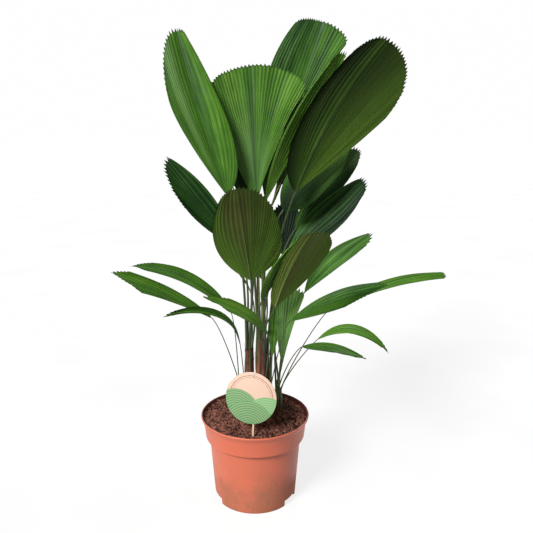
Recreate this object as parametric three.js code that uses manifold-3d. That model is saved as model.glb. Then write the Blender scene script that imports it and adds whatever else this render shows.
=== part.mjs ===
// A potted ruffled fan palm: a clump of short stems in a round plant pot, slender leaf stalks, and
// round pleated leaves. Millimetres, Z up, the front of the plant towards -Y. The origin is the
// middle of the pot's flat underside, which the plant stands on.

import * as THREE from "three";
import { mergeVertices } from "three/addons/utils/BufferGeometryUtils.js";
import Module from "manifold-3d";

const wasm = await Module();
wasm.setup();

// Pot
const POT_HEIGHT = 170;
const LIP_RADIUS = 105; // rolled edge, outside
const LIP_INNER = 101;
const LIP_DEPTH = 6;
const COLLAR_RADIUS = 99; // band under the lip
const COLLAR_FOOT_RADIUS = 96;
const COLLAR_HEIGHT = 43;
const WALL_RADIUS = 89; // just below the collar
const BASE_RADIUS = 79.5;
const WALL = 2.6;
const FLOOR = 15;
const POT_SIDES = 40;

// Notches in the pot's foot, as start and end azimuths in degrees
const NOTCH_HEIGHT = 12;
const NOTCH_DEPTH = 15;
const NOTCHES = [
  [-178, -143],
  [-44, -12],
  [68, 102],
];

// Soil, stems and the tag on its stick
const GAP = 0.3; // between pieces that touch
const SOIL_TOP = 164;
const SOIL_CROWN = 2;
const SOIL_LEVEL = 60; // radius of the level middle
const SOIL_EDGE = 92; // radius where it falls to the wall
const TAG_CENTRE = [-5.7, -75.4, 235.8];
const TAG_RADIUS = 47.5;
const TAG_THICK = 1.6;
const TAG_TURN = -14; // degrees, to face a little to the left
const TAG_LEAN = 10; // degrees, backwards
const TAG_SLOT = 9; // height of the slot in the top of the tag, where the stick shows
const STICK_X = 6; // from the middle of the tag
const STICK_WIDTH = 4;
const STICK_THICK = 1.8;
const STICK_TOP = 52; // above the middle of the tag
const STICK_POINT = 10;

// Leaf stalks
const STALK_SIDES = 6;
const STALK_FOOT = 2.2; // radius at the stem
const STALK_TIP = 1.3; // radius at the leaf
const SEAT_RADIUS = 4.7; // ring of stalk feet on top of a stem

// Leaves
const LEAF_THICK_SHARE = 0.0104; // of the leaf's length
const TOOTH = 4;
const PLEAT = 1.2;
const LEAF_RINGS = 4;

// Colours
const COLOURS = {
  pot: 0xc8694c,
  soil: 0x3a231b,
  stem: 0x6b4a35,
  stalk: 0x2f4a22,
  leaf: 0x2f6b28,
  tag: 0xf2cdb4,
  stick: 0xdcb78f,
};

// Stems: foot on the soil, top, and the radius at each
const STEMS = {
  left: { foot: [-10, 5], top: [-10.5, 4, 300], radii: [8.5, 7.5] },
  middle: { foot: [10, -5], top: [9.5, -5, 322], radii: [7.5, 7] },
  back: { foot: [14, 26], top: [20, 31, 285], radii: [9, 7.5] },
  right: { foot: [42, 6], top: [46, 8, 214], radii: [8, 7] },
};

// Leaves. seat: the stem that the stalk stands on and its azimuth on the top of it, or a place on
// the soil. base and tip: the ends of the midrib. face: azimuth (0 to the front, 90 to the right)
// and elevation of the upper side. left and right: half width and height share where the smooth
// edge ends, then the half width and height share that this edge is drawn towards. fold: rise of
// each half in degrees, and curl its change over 100 mm. arch: bow of the midrib towards the
// upper side, bow: to the side, both as shares of its length. ruffle: waves of the outer edge, mm.
// point: how far the toothed edge is drawn straight, which makes the tip pointed.
const LEAVES = [
  {
    name: "left_tall", seat: ["left", 190], base: [-48, -5, 596], tip: [-138, 50, 882],
    face: [10, 20], left: [50, 0.6, 53, 0.44], right: [16, 0.95, 80, 0.12],
    fold: [28, 20], curl: [-30, 0], arch: 0.03, bow: -0.02, pleats: 10,
  },
  {
    name: "left_rear", seat: ["left", 80], base: [-16, 62, 568], tip: [-132, 128, 872],
    face: [20, 10], left: [40, 0.6, 20, 0.3], right: [14, 0.7, 56, 0.3], pleats: 7,
  },
  {
    name: "centre_fan", seat: ["middle", 150], base: [5, 25, 583], tip: [0, 50, 823],
    face: [0, 10], left: [80, 0.78, 36, 0.2], right: [92, 0.76, 25, 0.35],
    fold: [6, 6], ruffle: 5, pleats: 11,
  },
  {
    name: "top_fan", seat: ["middle", 90], base: [20, 66, 583], tip: [124, 96, 904],
    face: [0, 15], left: [47, 0.93, 98, 0.53], right: [57, 0.9, 0, 0.5],
    fold: [12, 10], arch: 0.04, pleats: 11,
  },
  {
    name: "top_edge", seat: ["middle", 210], base: [21, 6, 586], tip: [160, 10, 838],
    face: [30, 10], left: [24, 0.9, 60, 0.35], right: [4, 0.5, 4, 0.25],
    fold: [15, 15], pleats: 6,
  },
  {
    name: "inner_dark", seat: ["back", 180], base: [47, 20, 612], tip: [144, 26, 788],
    face: [180, 10], left: [45, 0.6, 45, 0.3], fold: [0, 0], pleats: 5,
  },
  {
    name: "right_tall", seat: ["middle", 30], base: [73, -30, 605], tip: [206, -120, 844],
    face: [200, 10], left: [103, 0.61, 86, 0.36], right: [31, 0.82, 64, 0.12],
    fold: [10, 24], arch: 0.05, bow: 0.02, pleats: 12,
  },
  {
    name: "right_under", seat: ["back", 270], base: [53, 10, 567], tip: [163, 20, 701],
    face: [0, 20], left: [40, 0.6, 40, 0.1], pleats: 6,
  },
  {
    name: "right_mid", seat: ["back", 340], base: [78, 62, 523], tip: [199, 100, 674],
    face: [-20, 30], left: [18, 0.88, 40, 0.33], right: [24, 0.86, 42, 0.5],
    fold: [15, 15], pleats: 6,
  },
  {
    name: "right_rear", seat: [50, 28], base: [65, 28, 487], tip: [203, 46, 620],
    face: [-30, 30], left: [8, 0.95, 50, 0.4], right: [28, 0.84, 70, 0.36],
    fold: [10, 10], pleats: 7,
  },
  {
    name: "centre_rear", seat: ["back", 60], base: [54, 62, 472], tip: [58, 92, 571],
    face: [0, 10], left: [25, 0.6, 25, 0.3], right: [36, 0.6, 30, 0.3],
    fold: [5, 5], pleats: 5,
  },
  {
    name: "front_right", seat: ["middle", 330], base: [37, -60, 403], tip: [96, -130, 549],
    face: [195, 40], left: [70, 0.62, 66, 0.3], right: [12, 0.85, 28, 0.1],
    fold: [15, 25], arch: 0.06, pleats: 9,
  },
  {
    name: "front_slim", seat: ["middle", 270], base: [14, -45, 410], tip: [84, -80, 537],
    face: [30, 10], left: [10, 0.85, 46, 0.35], right: [3, 0.6, 3, 0.3],
    fold: [20, 20], pleats: 5,
  },
  {
    name: "front_centre", seat: ["left", 285], base: [-5, -70, 455], tip: [-24, -150, 622],
    face: [188, 30], left: [66, 0.25, 56, 0.08], right: [33, 0.84, 84, 0.27],
    arch: 0.05, pleats: 10, point: 0.12,
  },
  {
    name: "left_mid", seat: ["left", 137], base: [-35, 20, 498], tip: [-157, 20, 659],
    face: [-10, 30], left: [31, 0.5, 27, 0.25], right: [6, 0.97, 42, 0.5],
    fold: [10, 10], pleats: 8,
  },
  {
    name: "spear_mid", seat: ["right", 90], base: [95, 10, 412], tip: [215, 10, 522],
    face: [-20, 40], left: [6, 0.97, 52, 0.36], right: [14, 0.74, 10, 0.4],
    fold: [10, 10], arch: 0.02, pleats: 5,
  },
  {
    name: "right_long", seat: [20, -20], base: [66, -60, 378], tip: [232, -80, 449],
    face: [0, 50], left: [12, 0.9, 34, 0.4], right: [20, 0.56, 20, 0.3], fold: [-17, -12],
    arch: 0.09, pleats: 7, point: 0.85, split: true,
  },
  {
    name: "right_longest", seat: ["right", 10], base: [143, 10, 377], tip: [357, 10, 444],
    face: [0, 70], left: [9, 0.97, 26, 0.35], right: [12, 0.97, 12, 0.6],
    arch: 0.065, pleats: 6, split: true,
  },
  {
    name: "right_arch", seat: ["right", 312], base: [115, -60, 343], tip: [234, -100, 332],
    face: [0, 70], left: [8, 0.85, 20, 0.3], right: [8, 0.75, 28, 0.22],
    fold: [15, 15], arch: 0.28, pleats: 6, point: 0.85, split: true,
  },
  {
    name: "right_low", seat: ["right", 254], base: [86, -90, 340], tip: [187, -150, 339],
    face: [0, 65], left: [6, 0.84, 13, 0.3], right: [8, 0.76, 24, 0.25],
    arch: 0.105, pleats: 6, point: 0.85, split: true,
  },
  {
    name: "left_long", seat: [-12, -9], base: [-78, -50, 381], tip: [-246, -75, 471],
    face: [0, 50], left: [22, 0.68, 10, 0.35], right: [12, 0.85, 18, 0.3],
    arch: 0.055, pleats: 7, point: 0.85, split: true,
  },
  {
    name: "left_arch", seat: [-28, 8], base: [-47, 0, 379], tip: [-231, 10, 461],
    face: [0, 55], left: [11, 0.8, 20, 0.3], arch: 0.19, pleats: 6, point: 0.85, split: true,
  },
  {
    name: "front_low", seat: [12, -26], base: [25, -110, 369], tip: [-79, -170, 454],
    face: [0, 50], left: [14, 0.7, 15, 0.3], right: [12, 0.7, 16, 0.3],
    arch: 0.12, pleats: 6, point: 0.85, split: true,
  },
  {
    name: "left_low", seat: [-14, -20], base: [-26, -45, 329], tip: [-153, -110, 403],
    face: [0, 65], left: [6, 0.8, 15, 0.24], right: [5, 0.8, 14, 0.24],
    arch: 0.265, pleats: 6, point: 0.85, split: true,
  },
  {
    name: "spear_right", seat: ["right", 196], base: [52, -30, 287], tip: [67, -12, 427],
    face: [0, 5], left: [24, 0.75, 20, 0.3], right: [28, 0.9, 8, 0.4],
    fold: [25, 25], pleats: 5,
  },
  {
    name: "spear_small", seat: [33, -12], base: [33, -14, 294], tip: [44, 8, 396],
    face: [-10, 5], left: [12, 0.75, 12, 0.3], fold: [30, 30], pleats: 4,
  },
  {
    name: "rear_tall", seat: [-4, 46], base: [-5, 95, 540], tip: [-30, 190, 795],
    face: [115, 15], left: [46, 0.65, 30, 0.3], arch: 0.04, pleats: 6,
  },
  {
    name: "rear_high", seat: [14, 66], base: [34, 130, 560], tip: [52, 262, 800],
    face: [85, 15], left: [44, 0.65, 30, 0.3], arch: 0.05, pleats: 6,
  },
  {
    name: "rear_right", seat: [30, 52], base: [70, 85, 500], tip: [150, 190, 690],
    face: [120, 20], left: [46, 0.65, 30, 0.3], arch: 0.05, pleats: 6,
  },
  {
    name: "rear_middle", seat: [-18, 54], base: [-6, 122, 500], tip: [-42, 245, 690],
    face: [250, 20], left: [40, 0.65, 26, 0.3], arch: 0.05, pleats: 5,
  },
  {
    name: "rear_left", seat: [-22, 36], base: [-14, 75, 405], tip: [-52, 155, 545],
    face: [235, 30], left: [30, 0.65, 22, 0.3], arch: 0.08, pleats: 5,
  },
  {
    name: "rear_low_right", seat: [42, 40], base: [60, 75, 382], tip: [108, 190, 478],
    face: [130, 45], left: [26, 0.7, 22, 0.3], arch: 0.1, pleats: 5,
  },
  {
    name: "rear_low_left", seat: [2, 56], base: [18, 90, 412], tip: [16, 210, 480],
    face: [215, 50], left: [26, 0.7, 22, 0.3], arch: 0.12, pleats: 5,
  },
];

const rad = THREE.MathUtils.degToRad;
const group = new THREE.Group();

// Adds one closed piece to the plant.
function add(name, geometry, colour, roughness = 0.7) {
  const material = new THREE.MeshStandardMaterial({ color: colour, roughness, metalness: 0 });
  const mesh = new THREE.Mesh(geometry, material);
  mesh.name = name;
  group.add(mesh);
  return mesh;
}

// A closed geometry from rings of points: the first and last ring are filled.
function loft(rings) {
  const n = rings[0].length;
  const points = rings.flat();
  const faces = [];
  for (let j = 0; j + 1 < rings.length; j++) {
    for (let i = 0; i < n; i++) {
      const a = j * n + i;
      const b = j * n + ((i + 1) % n);
      faces.push(a, b, b + n, a, b + n, a + n);
    }
  }
  const last = (rings.length - 1) * n;
  for (let i = 1; i + 1 < n; i++) {
    faces.push(0, i + 1, i);
    faces.push(last, last + i, last + i + 1);
  }
  return fromFaces(points, faces);
}

function fromFaces(points, faces) {
  const geometry = new THREE.BufferGeometry();
  const numbers = points.flatMap((p) => [p.x, p.y, p.z]);
  geometry.setAttribute("position", new THREE.Float32BufferAttribute(numbers, 3));
  geometry.setIndex(faces);
  return geometry;
}

function toSolid(geometry) {
  const bare = geometry.clone();
  bare.deleteAttribute("normal");
  bare.deleteAttribute("uv");
  const merged = mergeVertices(bare, 1e-4);
  return new wasm.Manifold(
    new wasm.Mesh({
      numProp: 3,
      vertProperties: new Float32Array(merged.attributes.position.array),
      triVerts: new Uint32Array(merged.index.array),
    }),
  );
}

function fromSolid(solid) {
  const mesh = solid.getMesh();
  const geometry = new THREE.BufferGeometry();
  geometry.setAttribute("position", new THREE.BufferAttribute(mesh.vertProperties, 3));
  geometry.setIndex(new THREE.BufferAttribute(mesh.triVerts, 1));
  return geometry;
}

// A round limb along a curve, with a level cut at its foot and a square one at its end.
function limb(curve, radiusAt, sides, steps) {
  const rings = [];
  let side = new THREE.Vector3(1, 0, 0);
  for (let j = 0; j <= steps; j++) {
    const s = j / steps;
    const along = curve.getTangent(s).normalize();
    side = side.clone().addScaledVector(along, -side.dot(along)).normalize();
    const other = new THREE.Vector3().crossVectors(along, side);
    const centre = curve.getPoint(s);
    const r = radiusAt(s);
    const ring = [];
    for (let i = 0; i < sides; i++) {
      const a = (2 * Math.PI * i) / sides;
      const point = centre.clone();
      point.addScaledVector(side, r * Math.cos(a)).addScaledVector(other, r * Math.sin(a));
      if (j === 0) {
        point.z = centre.z;
      }
      ring.push(point);
    }
    rings.push(ring);
  }
  return loft(rings);
}

// The midrib of a leaf and the direction its upper side faces.
function midribOf(leaf) {
  const base = new THREE.Vector3(...leaf.base);
  const tip = new THREE.Vector3(...leaf.tip);
  const chord = tip.clone().sub(base);
  const along = chord.clone().normalize();
  const [azimuth, elevation] = leaf.face.map(rad);
  const facing = new THREE.Vector3(
    Math.cos(elevation) * Math.sin(azimuth),
    -Math.cos(elevation) * Math.cos(azimuth),
    Math.sin(elevation),
  );
  const up = facing.addScaledVector(along, -facing.dot(along)).normalize();
  const side = new THREE.Vector3().crossVectors(along, up);
  const middle = base.clone().add(tip).multiplyScalar(0.5);
  middle.addScaledVector(up, 2 * (leaf.arch ?? 0) * chord.length());
  middle.addScaledVector(side, 2 * (leaf.bow ?? 0) * chord.length());
  return { curve: new THREE.QuadraticBezierCurve3(base, middle, tip), up };
}

// Distance across and height of a leaf half, after it is folded up along the midrib.
function bend(x, fold, curl) {
  const start = rad(fold);
  const rate = rad(curl) / 100;
  if (Math.abs(rate) < 1e-6) {
    return [x * Math.cos(start), x * Math.sin(start)];
  }
  const end = start + rate * x;
  return [(Math.sin(end) - Math.sin(start)) / rate, (Math.cos(start) - Math.cos(end)) / rate];
}

// The end of a rib on the toothed edge, and the point that it is drawn towards. share: 0 for the
// midrib, 1 for the last rib of the half. The toothed edge leaves the tip square to the midrib and
// runs into the smooth edge without a corner.
function rimOf([endX, endY, bellyX, bellyY], point, length, share) {
  const drop = length * (1 - endY);
  let x = endX;
  let turn = 0;
  for (let k = 0; k < 8; k++) {
    const lean = ((x - bellyX) / (length * (endY - bellyY))) * drop;
    turn = lean > -0.45 * x ? Math.max(-lean / (lean + x), -0.9) : 0;
    if (turn < 0) {
      x = endX * Math.sqrt(1 - turn * turn);
    }
  }
  const angle = Math.acos(turn) * share;
  const quarter = (Math.PI / 2) * share;
  const arcX = (x / Math.sqrt(1 - turn * turn)) * Math.sin(angle);
  const arcY = (drop / (1 - turn)) * (1 - Math.cos(angle));
  return {
    x: (1 - point) * arcX + point * x * share,
    y: length - (1 - point) * arcY - point * drop * share,
    bx: bellyX * Math.sin(quarter),
    by: length * (0.5 + (bellyY - 0.5) * (1 - Math.cos(quarter))),
  };
}

// One pleated leaf: ribs fan out from the base of the midrib to the toothed edge.
function blade(leaf) {
  const { curve, up } = midribOf(leaf);
  const length = curve.getLength();
  const halves = [leaf.left, leaf.right ?? leaf.left];
  const folds = leaf.fold ?? [12, 12];
  const curls = leaf.curl ?? [0, 0];
  const thick = Math.max(length * LEAF_THICK_SHARE, 1.5);
  const count = 2 * leaf.pleats + 1;
  const upper = [];
  const lower = [];
  for (let j = 0; j <= LEAF_RINGS; j++) {
    const s = j / LEAF_RINGS;
    for (let i = 0; i < count; i++) {
      const t = (2 * i) / (count - 1) - 1;
      const h = t < 0 ? 0 : 1;
      const rib = rimOf(halves[h], leaf.point ?? 0, length, Math.abs(t));
      let x = 2 * s * (1 - s) * rib.bx + s * s * rib.x;
      let y = 2 * s * (1 - s) * rib.by + s * s * rib.y;
      const valley = i % 2 === 0;
      if (j === 0) {
        x = 1.6 * Math.abs(t);
        y = 0;
      }
      if (j === LEAF_RINGS && valley && i > 0 && i < count - 1) {
        const dx = rib.x - rib.bx;
        const dy = rib.y - rib.by;
        const d = Math.hypot(dx, dy);
        x -= (dx / d) * TOOTH;
        y -= (dy / d) * TOOTH;
      }
      const u = Math.min(Math.max(y / length, 0), 1);
      const along = curve.getTangentAt(u);
      const across = new THREE.Vector3().crossVectors(along, up).normalize();
      const out = new THREE.Vector3().crossVectors(across, along);
      const [lateral, rise] = bend(x, folds[h], curls[h]);
      const pleat = (valley ? -1 : 1) * PLEAT * Math.min(1, 2 * s);
      const wave = (leaf.ruffle ?? 0) * Math.sin(3 * Math.PI * t + 1) * s * s;
      const point = curve.getPointAt(u);
      point.addScaledVector(across, Math.sign(t) * lateral);
      point.addScaledVector(out, rise + pleat + wave);
      upper.push(point.clone().addScaledVector(out, thick / 2));
      lower.push(point.clone().addScaledVector(out, -thick / 2));
    }
  }
  const points = [...upper, ...lower];
  const below = upper.length;
  const faces = [];
  const quad = (a, b, c, d) => faces.push(a, b, c, a, c, d);
  for (let j = 0; j < LEAF_RINGS; j++) {
    for (let i = 0; i + 1 < count; i++) {
      const a = j * count + i;
      quad(a, a + 1, a + 1 + count, a + count);
      quad(below + a, below + a + count, below + a + 1 + count, below + a + 1);
    }
    const l = j * count;
    const r = l + count - 1;
    quad(l, l + count, below + l + count, below + l);
    quad(r, below + r, below + r + count, r + count);
  }
  for (let i = 0; i + 1 < count; i++) {
    const o = LEAF_RINGS * count + i;
    quad(o, o + 1, below + o + 1, below + o);
    quad(i, below + i, below + i + 1, i + 1);
  }
  return fromFaces(points, faces);
}

// The foot of a leaf's stalk, on top of a stem or on the soil.
function footOf(leaf) {
  if (typeof leaf.seat[0] === "number") {
    return new THREE.Vector3(leaf.seat[0], leaf.seat[1], SOIL_TOP + SOIL_CROWN + GAP);
  }
  const top = STEMS[leaf.seat[0]].top;
  const a = rad(leaf.seat[1]);
  return new THREE.Vector3(
    top[0] + SEAT_RADIUS * Math.cos(a),
    top[1] + SEAT_RADIUS * Math.sin(a),
    top[2] + GAP,
  );
}

// A stalk rises from its foot and turns into the midrib of its leaf.
function stalk(leaf, reach) {
  const foot = footOf(leaf);
  const end = new THREE.Vector3(...leaf.base);
  const along = midribOf(leaf).curve.getTangent(0);
  end.addScaledVector(along, reach);
  const span = end.distanceTo(foot);
  const lean = leaf.split ? 0.6 : 0.25;
  const rise = new THREE.Vector3(0, 0, 1 - lean);
  rise.addScaledVector(end.clone().sub(foot).normalize(), lean).normalize();
  const curve = new THREE.CubicBezierCurve3(
    foot,
    foot.clone().addScaledVector(rise, span * 0.3),
    end.clone().addScaledVector(along, -span * (leaf.split ? 0.1 : 0.3)),
    end,
  );
  return limb(curve, (s) => STALK_FOOT + (STALK_TIP - STALK_FOOT) * s, STALK_SIDES, 8);
}

function buildPot() {
  const r = (z) => BASE_RADIUS + ((WALL_RADIUS - BASE_RADIUS) * z) / (POT_HEIGHT - COLLAR_HEIGHT);
  const step = POT_HEIGHT - COLLAR_HEIGHT;
  const profile = [
    [0, 0],
    [BASE_RADIUS - 1.5, 0],
    [r(2), 2],
    [r(step), step],
    [COLLAR_FOOT_RADIUS, step + 2],
    [COLLAR_RADIUS, POT_HEIGHT - LIP_DEPTH],
    [LIP_RADIUS, POT_HEIGHT - LIP_DEPTH + 1.5],
    [LIP_RADIUS, POT_HEIGHT - 2],
    [LIP_RADIUS - 1.5, POT_HEIGHT],
    [LIP_INNER, POT_HEIGHT],
    [COLLAR_RADIUS - WALL, POT_HEIGHT - LIP_DEPTH - 2],
    [COLLAR_FOOT_RADIUS - WALL, step + 3],
    [r(step) - WALL, step - 1],
    [r(FLOOR) - WALL, FLOOR],
    [0, FLOOR],
  ].map(([x, z]) => new THREE.Vector2(x, z));
  const lathe = new THREE.LatheGeometry(profile, POT_SIDES);
  lathe.rotateX(Math.PI / 2);
  let pot = toSolid(lathe);
  for (const [from, to] of NOTCHES) {
    const shape = new THREE.Shape();
    shape.absarc(0, 0, BASE_RADIUS + 12, rad(from), rad(to), false);
    shape.absarc(0, 0, BASE_RADIUS - NOTCH_DEPTH, rad(to), rad(from), true);
    const cut = { depth: NOTCH_HEIGHT + 5, bevelEnabled: false, curveSegments: 8 };
    const notch = new THREE.ExtrudeGeometry(shape, cut);
    notch.translate(0, 0, -5);
    pot = pot.subtract(toSolid(notch));
  }
  add("pot", fromSolid(pot), COLOURS.pot, 0.6);
}

// The soil is level in the middle and falls towards the pot's wall.
function buildSoil() {
  const step = POT_HEIGHT - COLLAR_HEIGHT;
  const r = (z) => BASE_RADIUS + ((WALL_RADIUS - BASE_RADIUS) * z) / step - WALL - GAP;
  const bottom = FLOOR + GAP;
  const widening = ((COLLAR_RADIUS - COLLAR_FOOT_RADIUS) * (SOIL_TOP - step)) / COLLAR_HEIGHT;
  const edge = COLLAR_FOOT_RADIUS + widening - WALL;
  const profile = [
    [0, bottom],
    [r(bottom), bottom],
    [r(step) - 0.3, step - 0.7],
    [COLLAR_FOOT_RADIUS - WALL - 0.6, step + 3.2],
    [edge - 0.6, SOIL_TOP - 3],
    [SOIL_EDGE, SOIL_TOP],
    [SOIL_LEVEL, SOIL_TOP + SOIL_CROWN],
    [0, SOIL_TOP + SOIL_CROWN],
  ].map(([x, z]) => new THREE.Vector2(x, z));
  const lathe = new THREE.LatheGeometry(profile, POT_SIDES);
  lathe.rotateX(Math.PI / 2);
  add("soil", fromSolid(toSolid(lathe)), COLOURS.soil, 1);
}

function buildStems() {
  for (const [name, stem] of Object.entries(STEMS)) {
    const foot = new THREE.Vector3(stem.foot[0], stem.foot[1], SOIL_TOP + SOIL_CROWN + GAP);
    const top = new THREE.Vector3(...stem.top);
    const height = top.z - foot.z;
    const curve = new THREE.CubicBezierCurve3(
      foot,
      foot.clone().add(new THREE.Vector3(0, 0, height / 3)),
      top.clone().sub(new THREE.Vector3(0, 0, height / 3)),
      top,
    );
    const [low, high] = stem.radii;
    const flare = (s) => low + (high - low) * s + 2 * Math.pow(1 - s, 8);
    add(`stem_${name}`, limb(curve, flare, 12, 8), COLOURS.stem, 0.9);
  }
}

function buildLeaves() {
  for (const leaf of LEAVES) {
    const own = blade(leaf);
    if (leaf.split) {
      add(`stalk_${leaf.name}`, stalk(leaf, -GAP), COLOURS.stalk);
      add(`blade_${leaf.name}`, own, COLOURS.leaf, 0.5);
    } else {
      const whole = toSolid(own).add(toSolid(stalk(leaf, 5)));
      add(`frond_${leaf.name}`, fromSolid(whole), COLOURS.leaf, 0.5);
    }
  }
}

// A round card on a pointed stick. The stick stands behind the card and shows in a slot at its top.
function buildTag() {
  const [x, y, z] = TAG_CENTRE;
  const back = TAG_THICK / 2 + GAP;
  const slot = new THREE.BoxGeometry(STICK_WIDTH + 2 * GAP, TAG_THICK * 3, TAG_SLOT * 2);
  slot.translate(STICK_X, 0, TAG_RADIUS);
  const disc = new THREE.CylinderGeometry(TAG_RADIUS, TAG_RADIUS, TAG_THICK, 40);
  const card = toSolid(disc).subtract(toSolid(slot));

  // The foot stands on the soil with its lower, rear edge.
  const lean = rad(TAG_LEAN);
  const drop = (SOIL_TOP + GAP - z) / Math.cos(lean);
  const place = new THREE.Vector3(STICK_X, back, drop);
  place.applyEuler(new THREE.Euler(-lean, 0, rad(TAG_TURN), "ZXY"));
  const fall = (Math.hypot(x + place.x, y + place.y) - SOIL_LEVEL) / (SOIL_EDGE - SOIL_LEVEL);
  const rear = (back + STICK_THICK) * Math.sin(lean);
  const foot = (SOIL_TOP + SOIL_CROWN * (1 - fall) + GAP - z + rear) / Math.cos(lean);
  const top = STICK_TOP;
  const shape = new THREE.Shape();
  shape.moveTo(-STICK_WIDTH / 2, foot);
  shape.lineTo(STICK_WIDTH / 2, foot);
  shape.lineTo(STICK_WIDTH / 2, top - STICK_POINT);
  shape.lineTo(0, top);
  shape.lineTo(-STICK_WIDTH / 2, top - STICK_POINT);
  const stick = new THREE.ExtrudeGeometry(shape, { depth: STICK_THICK, bevelEnabled: false });
  stick.rotateX(Math.PI / 2);
  stick.translate(STICK_X, back + STICK_THICK, 0);

  const pieces = [
    ["tag_disc", card, COLOURS.tag],
    ["tag_stick", toSolid(stick), COLOURS.stick],
  ];
  for (const [name, solid, colour] of pieces) {
    const piece = add(name, fromSolid(solid), colour, 0.8);
    piece.rotation.set(-lean, 0, rad(TAG_TURN), "ZXY");
    piece.position.set(x, y, z);
  }
}

buildPot();
buildSoil();
buildStems();
buildLeaves();
buildTag();

export default group;
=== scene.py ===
# A potted ruffled fan palm: round pleated leaves on slender stalks, a clump of short fibrous
# stems, soil, a round pot and a card on a stick. Metres, Z up, the plant's front towards -Y.
# Lengths of leaves, stems and pot are written in millimetres and multiplied by MM.

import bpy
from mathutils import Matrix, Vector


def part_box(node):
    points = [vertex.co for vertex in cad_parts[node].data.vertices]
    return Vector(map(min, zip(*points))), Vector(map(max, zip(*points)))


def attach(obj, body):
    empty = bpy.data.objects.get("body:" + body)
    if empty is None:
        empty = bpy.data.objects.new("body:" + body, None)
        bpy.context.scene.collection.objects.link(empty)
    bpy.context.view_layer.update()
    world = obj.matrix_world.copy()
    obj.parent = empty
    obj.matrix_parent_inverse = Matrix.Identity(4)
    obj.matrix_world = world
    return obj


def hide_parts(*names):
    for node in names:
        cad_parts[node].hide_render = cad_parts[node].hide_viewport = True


bl_info = {
    "name": "Potted ruffled fan palm",
    "version": (1, 0, 0),
    "blender": (4, 5, 0),
    "location": "3D View > Sidebar > Fan palm",
    "description": "Pleated fan leaves, stalks, stems, soil, pot and tag, around the packed part",
    "category": "Object",
}

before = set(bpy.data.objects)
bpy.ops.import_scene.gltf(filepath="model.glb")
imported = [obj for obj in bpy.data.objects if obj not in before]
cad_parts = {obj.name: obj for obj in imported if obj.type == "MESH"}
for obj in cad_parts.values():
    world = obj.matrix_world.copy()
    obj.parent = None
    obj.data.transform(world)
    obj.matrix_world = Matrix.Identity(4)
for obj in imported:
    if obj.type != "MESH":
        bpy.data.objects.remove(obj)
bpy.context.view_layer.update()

import math
from typing import NamedTuple

import bpy
import numpy as np
from bpy.props import FloatProperty, FloatVectorProperty, IntProperty, PointerProperty
from mathutils import Matrix, Vector, noise

MM = 0.001
BODY = "root"

# The photograph is a square of 533 pixels. Its camera was found from the pot's lip and foot.
PHOTO_WIDTH = 533
FOCAL_PIXELS = 600
SENSOR = 36  # millimetres
CAMERA_PLACE = (22.4 * MM, -1082 * MM, 713 * MM)
CAMERA_PITCH = 13.0  # degrees below level

# Studio: even light from all round, the brightness of what lies behind, the floor's own light, and
# large soft lamps with their azimuth (0 from the front, 90 from the right), elevation and strength
FILL = 0.28
BACKDROP = 0.995
FLOOR_GLOW = 0.79
FLOOR_RADIUS = 30.0
LAMPS = {"Key": (-36, 39, 3.4), "Rear": (180, 16, 0.9)}
LAMP_SPREAD = 20  # degrees
WHITE = (1.0, 1.0, 1.0, 1.0)

# Stems: foot on the soil, top, and the radius at each
STEMS = {
    "left": {"foot": (-10, 5), "top": (-10.5, 4, 300), "radii": (8.5, 7.5)},
    "middle": {"foot": (10, -5), "top": (9.5, -5, 322), "radii": (7.5, 7), "young": True},
    "back": {"foot": (14, 26), "top": (20, 31, 285), "radii": (9, 7.5)},
    "right": {"foot": (42, 6), "top": (46, 8, 214), "radii": (8, 7), "slim": 0.5},
}
SEAT_RADIUS = 4.7  # ring of stalk feet on top of a stem
SHEATH_DEPTH = 84  # how far a stalk's foot runs down the stem's side
GAP = 0.3  # between pieces that meet

# Tag: the middle of its card, its turn to the left and its lean backwards in degrees
TAG_CENTRE = (-5.7, -75.4, 235.8)
TAG_TURN = -14
TAG_LEAN = 10
STICK_X = 6  # from the middle of the card
STICK_TOP = 52  # above the middle of the card
STICK_THICK = 1.8
CARD_BACK = 1.1  # from the middle of the card to the stick
PLAIN = 5.0  # puts the card's back away from the print

# Notches in the pot's foot, as start and end azimuths in degrees
NOTCHES = ((-178, -143), (-44, -12), (68, 102))

# Blades and the midribs under them
BASE_WIDTH = 1.6  # half width of a blade where it starts
PLEAT_COLUMNS = 4  # of points in a pleat
RIB_DEPTH = 0.9  # from the blade down to the midrib's axis


class Leaf(NamedTuple):
    """One leaf. Its left and right halves are those of its upper side, seen from above it."""

    name: str
    seat: tuple  # the stem that the stalk stands on and its azimuth there, or a place on the soil
    base: tuple  # the midrib's ends
    tip: tuple
    face: tuple  # the upper side's azimuth (0 to the front, 90 to the right) and elevation
    left: tuple  # half width and height share of the smooth edge's end, then of its pull
    tone: tuple  # how light the green is at the left and the right edge, from 0 to 1; partly the leaf's own green and partly painted light and shade
    right: tuple = ()  # like left, which it repeats if it is empty
    fold: tuple = (12, 12)  # rise of each half in degrees
    curl: tuple = (0, 0)  # change of the fold over 100 mm
    arch: float = 0  # bend of the midrib towards the upper side, as a share of its length
    bow: float = 0  # bend of the midrib sideways
    ruffle: float = 0  # waves of the outer edge
    point: float = 0  # how far the outer edge is drawn straight, which makes the tip pointed
    split: bool = False  # the stalk and the blade are pieces of their own
    crisp: float = 1  # depth of the pleats and strength of the lines along them: painted shade in the folds and pale veins on the ridges
    pleat: float = 1  # width of the pleats
    tooth: float = 1  # length of the teeth
    bloom: tuple = ()  # patches of painted sheen on the upper side and of brown tinge on the underside: place across, its width, place along, its length, strength
    painted_shade: tuple = ()  # patches of painted shade, written in the same way
    pale: float = 0.1  # how yellow the stalk is
    rib: float = 0  # how yellow the midrib is
    dry: float = 0.2  # how far the brown of the stalk's foot comes up


# The tones paint light and shade as well as each leaf's own green: leaves deep in the clump are
# painted dark, leaves in the shadow of others are painted lighter.
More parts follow.
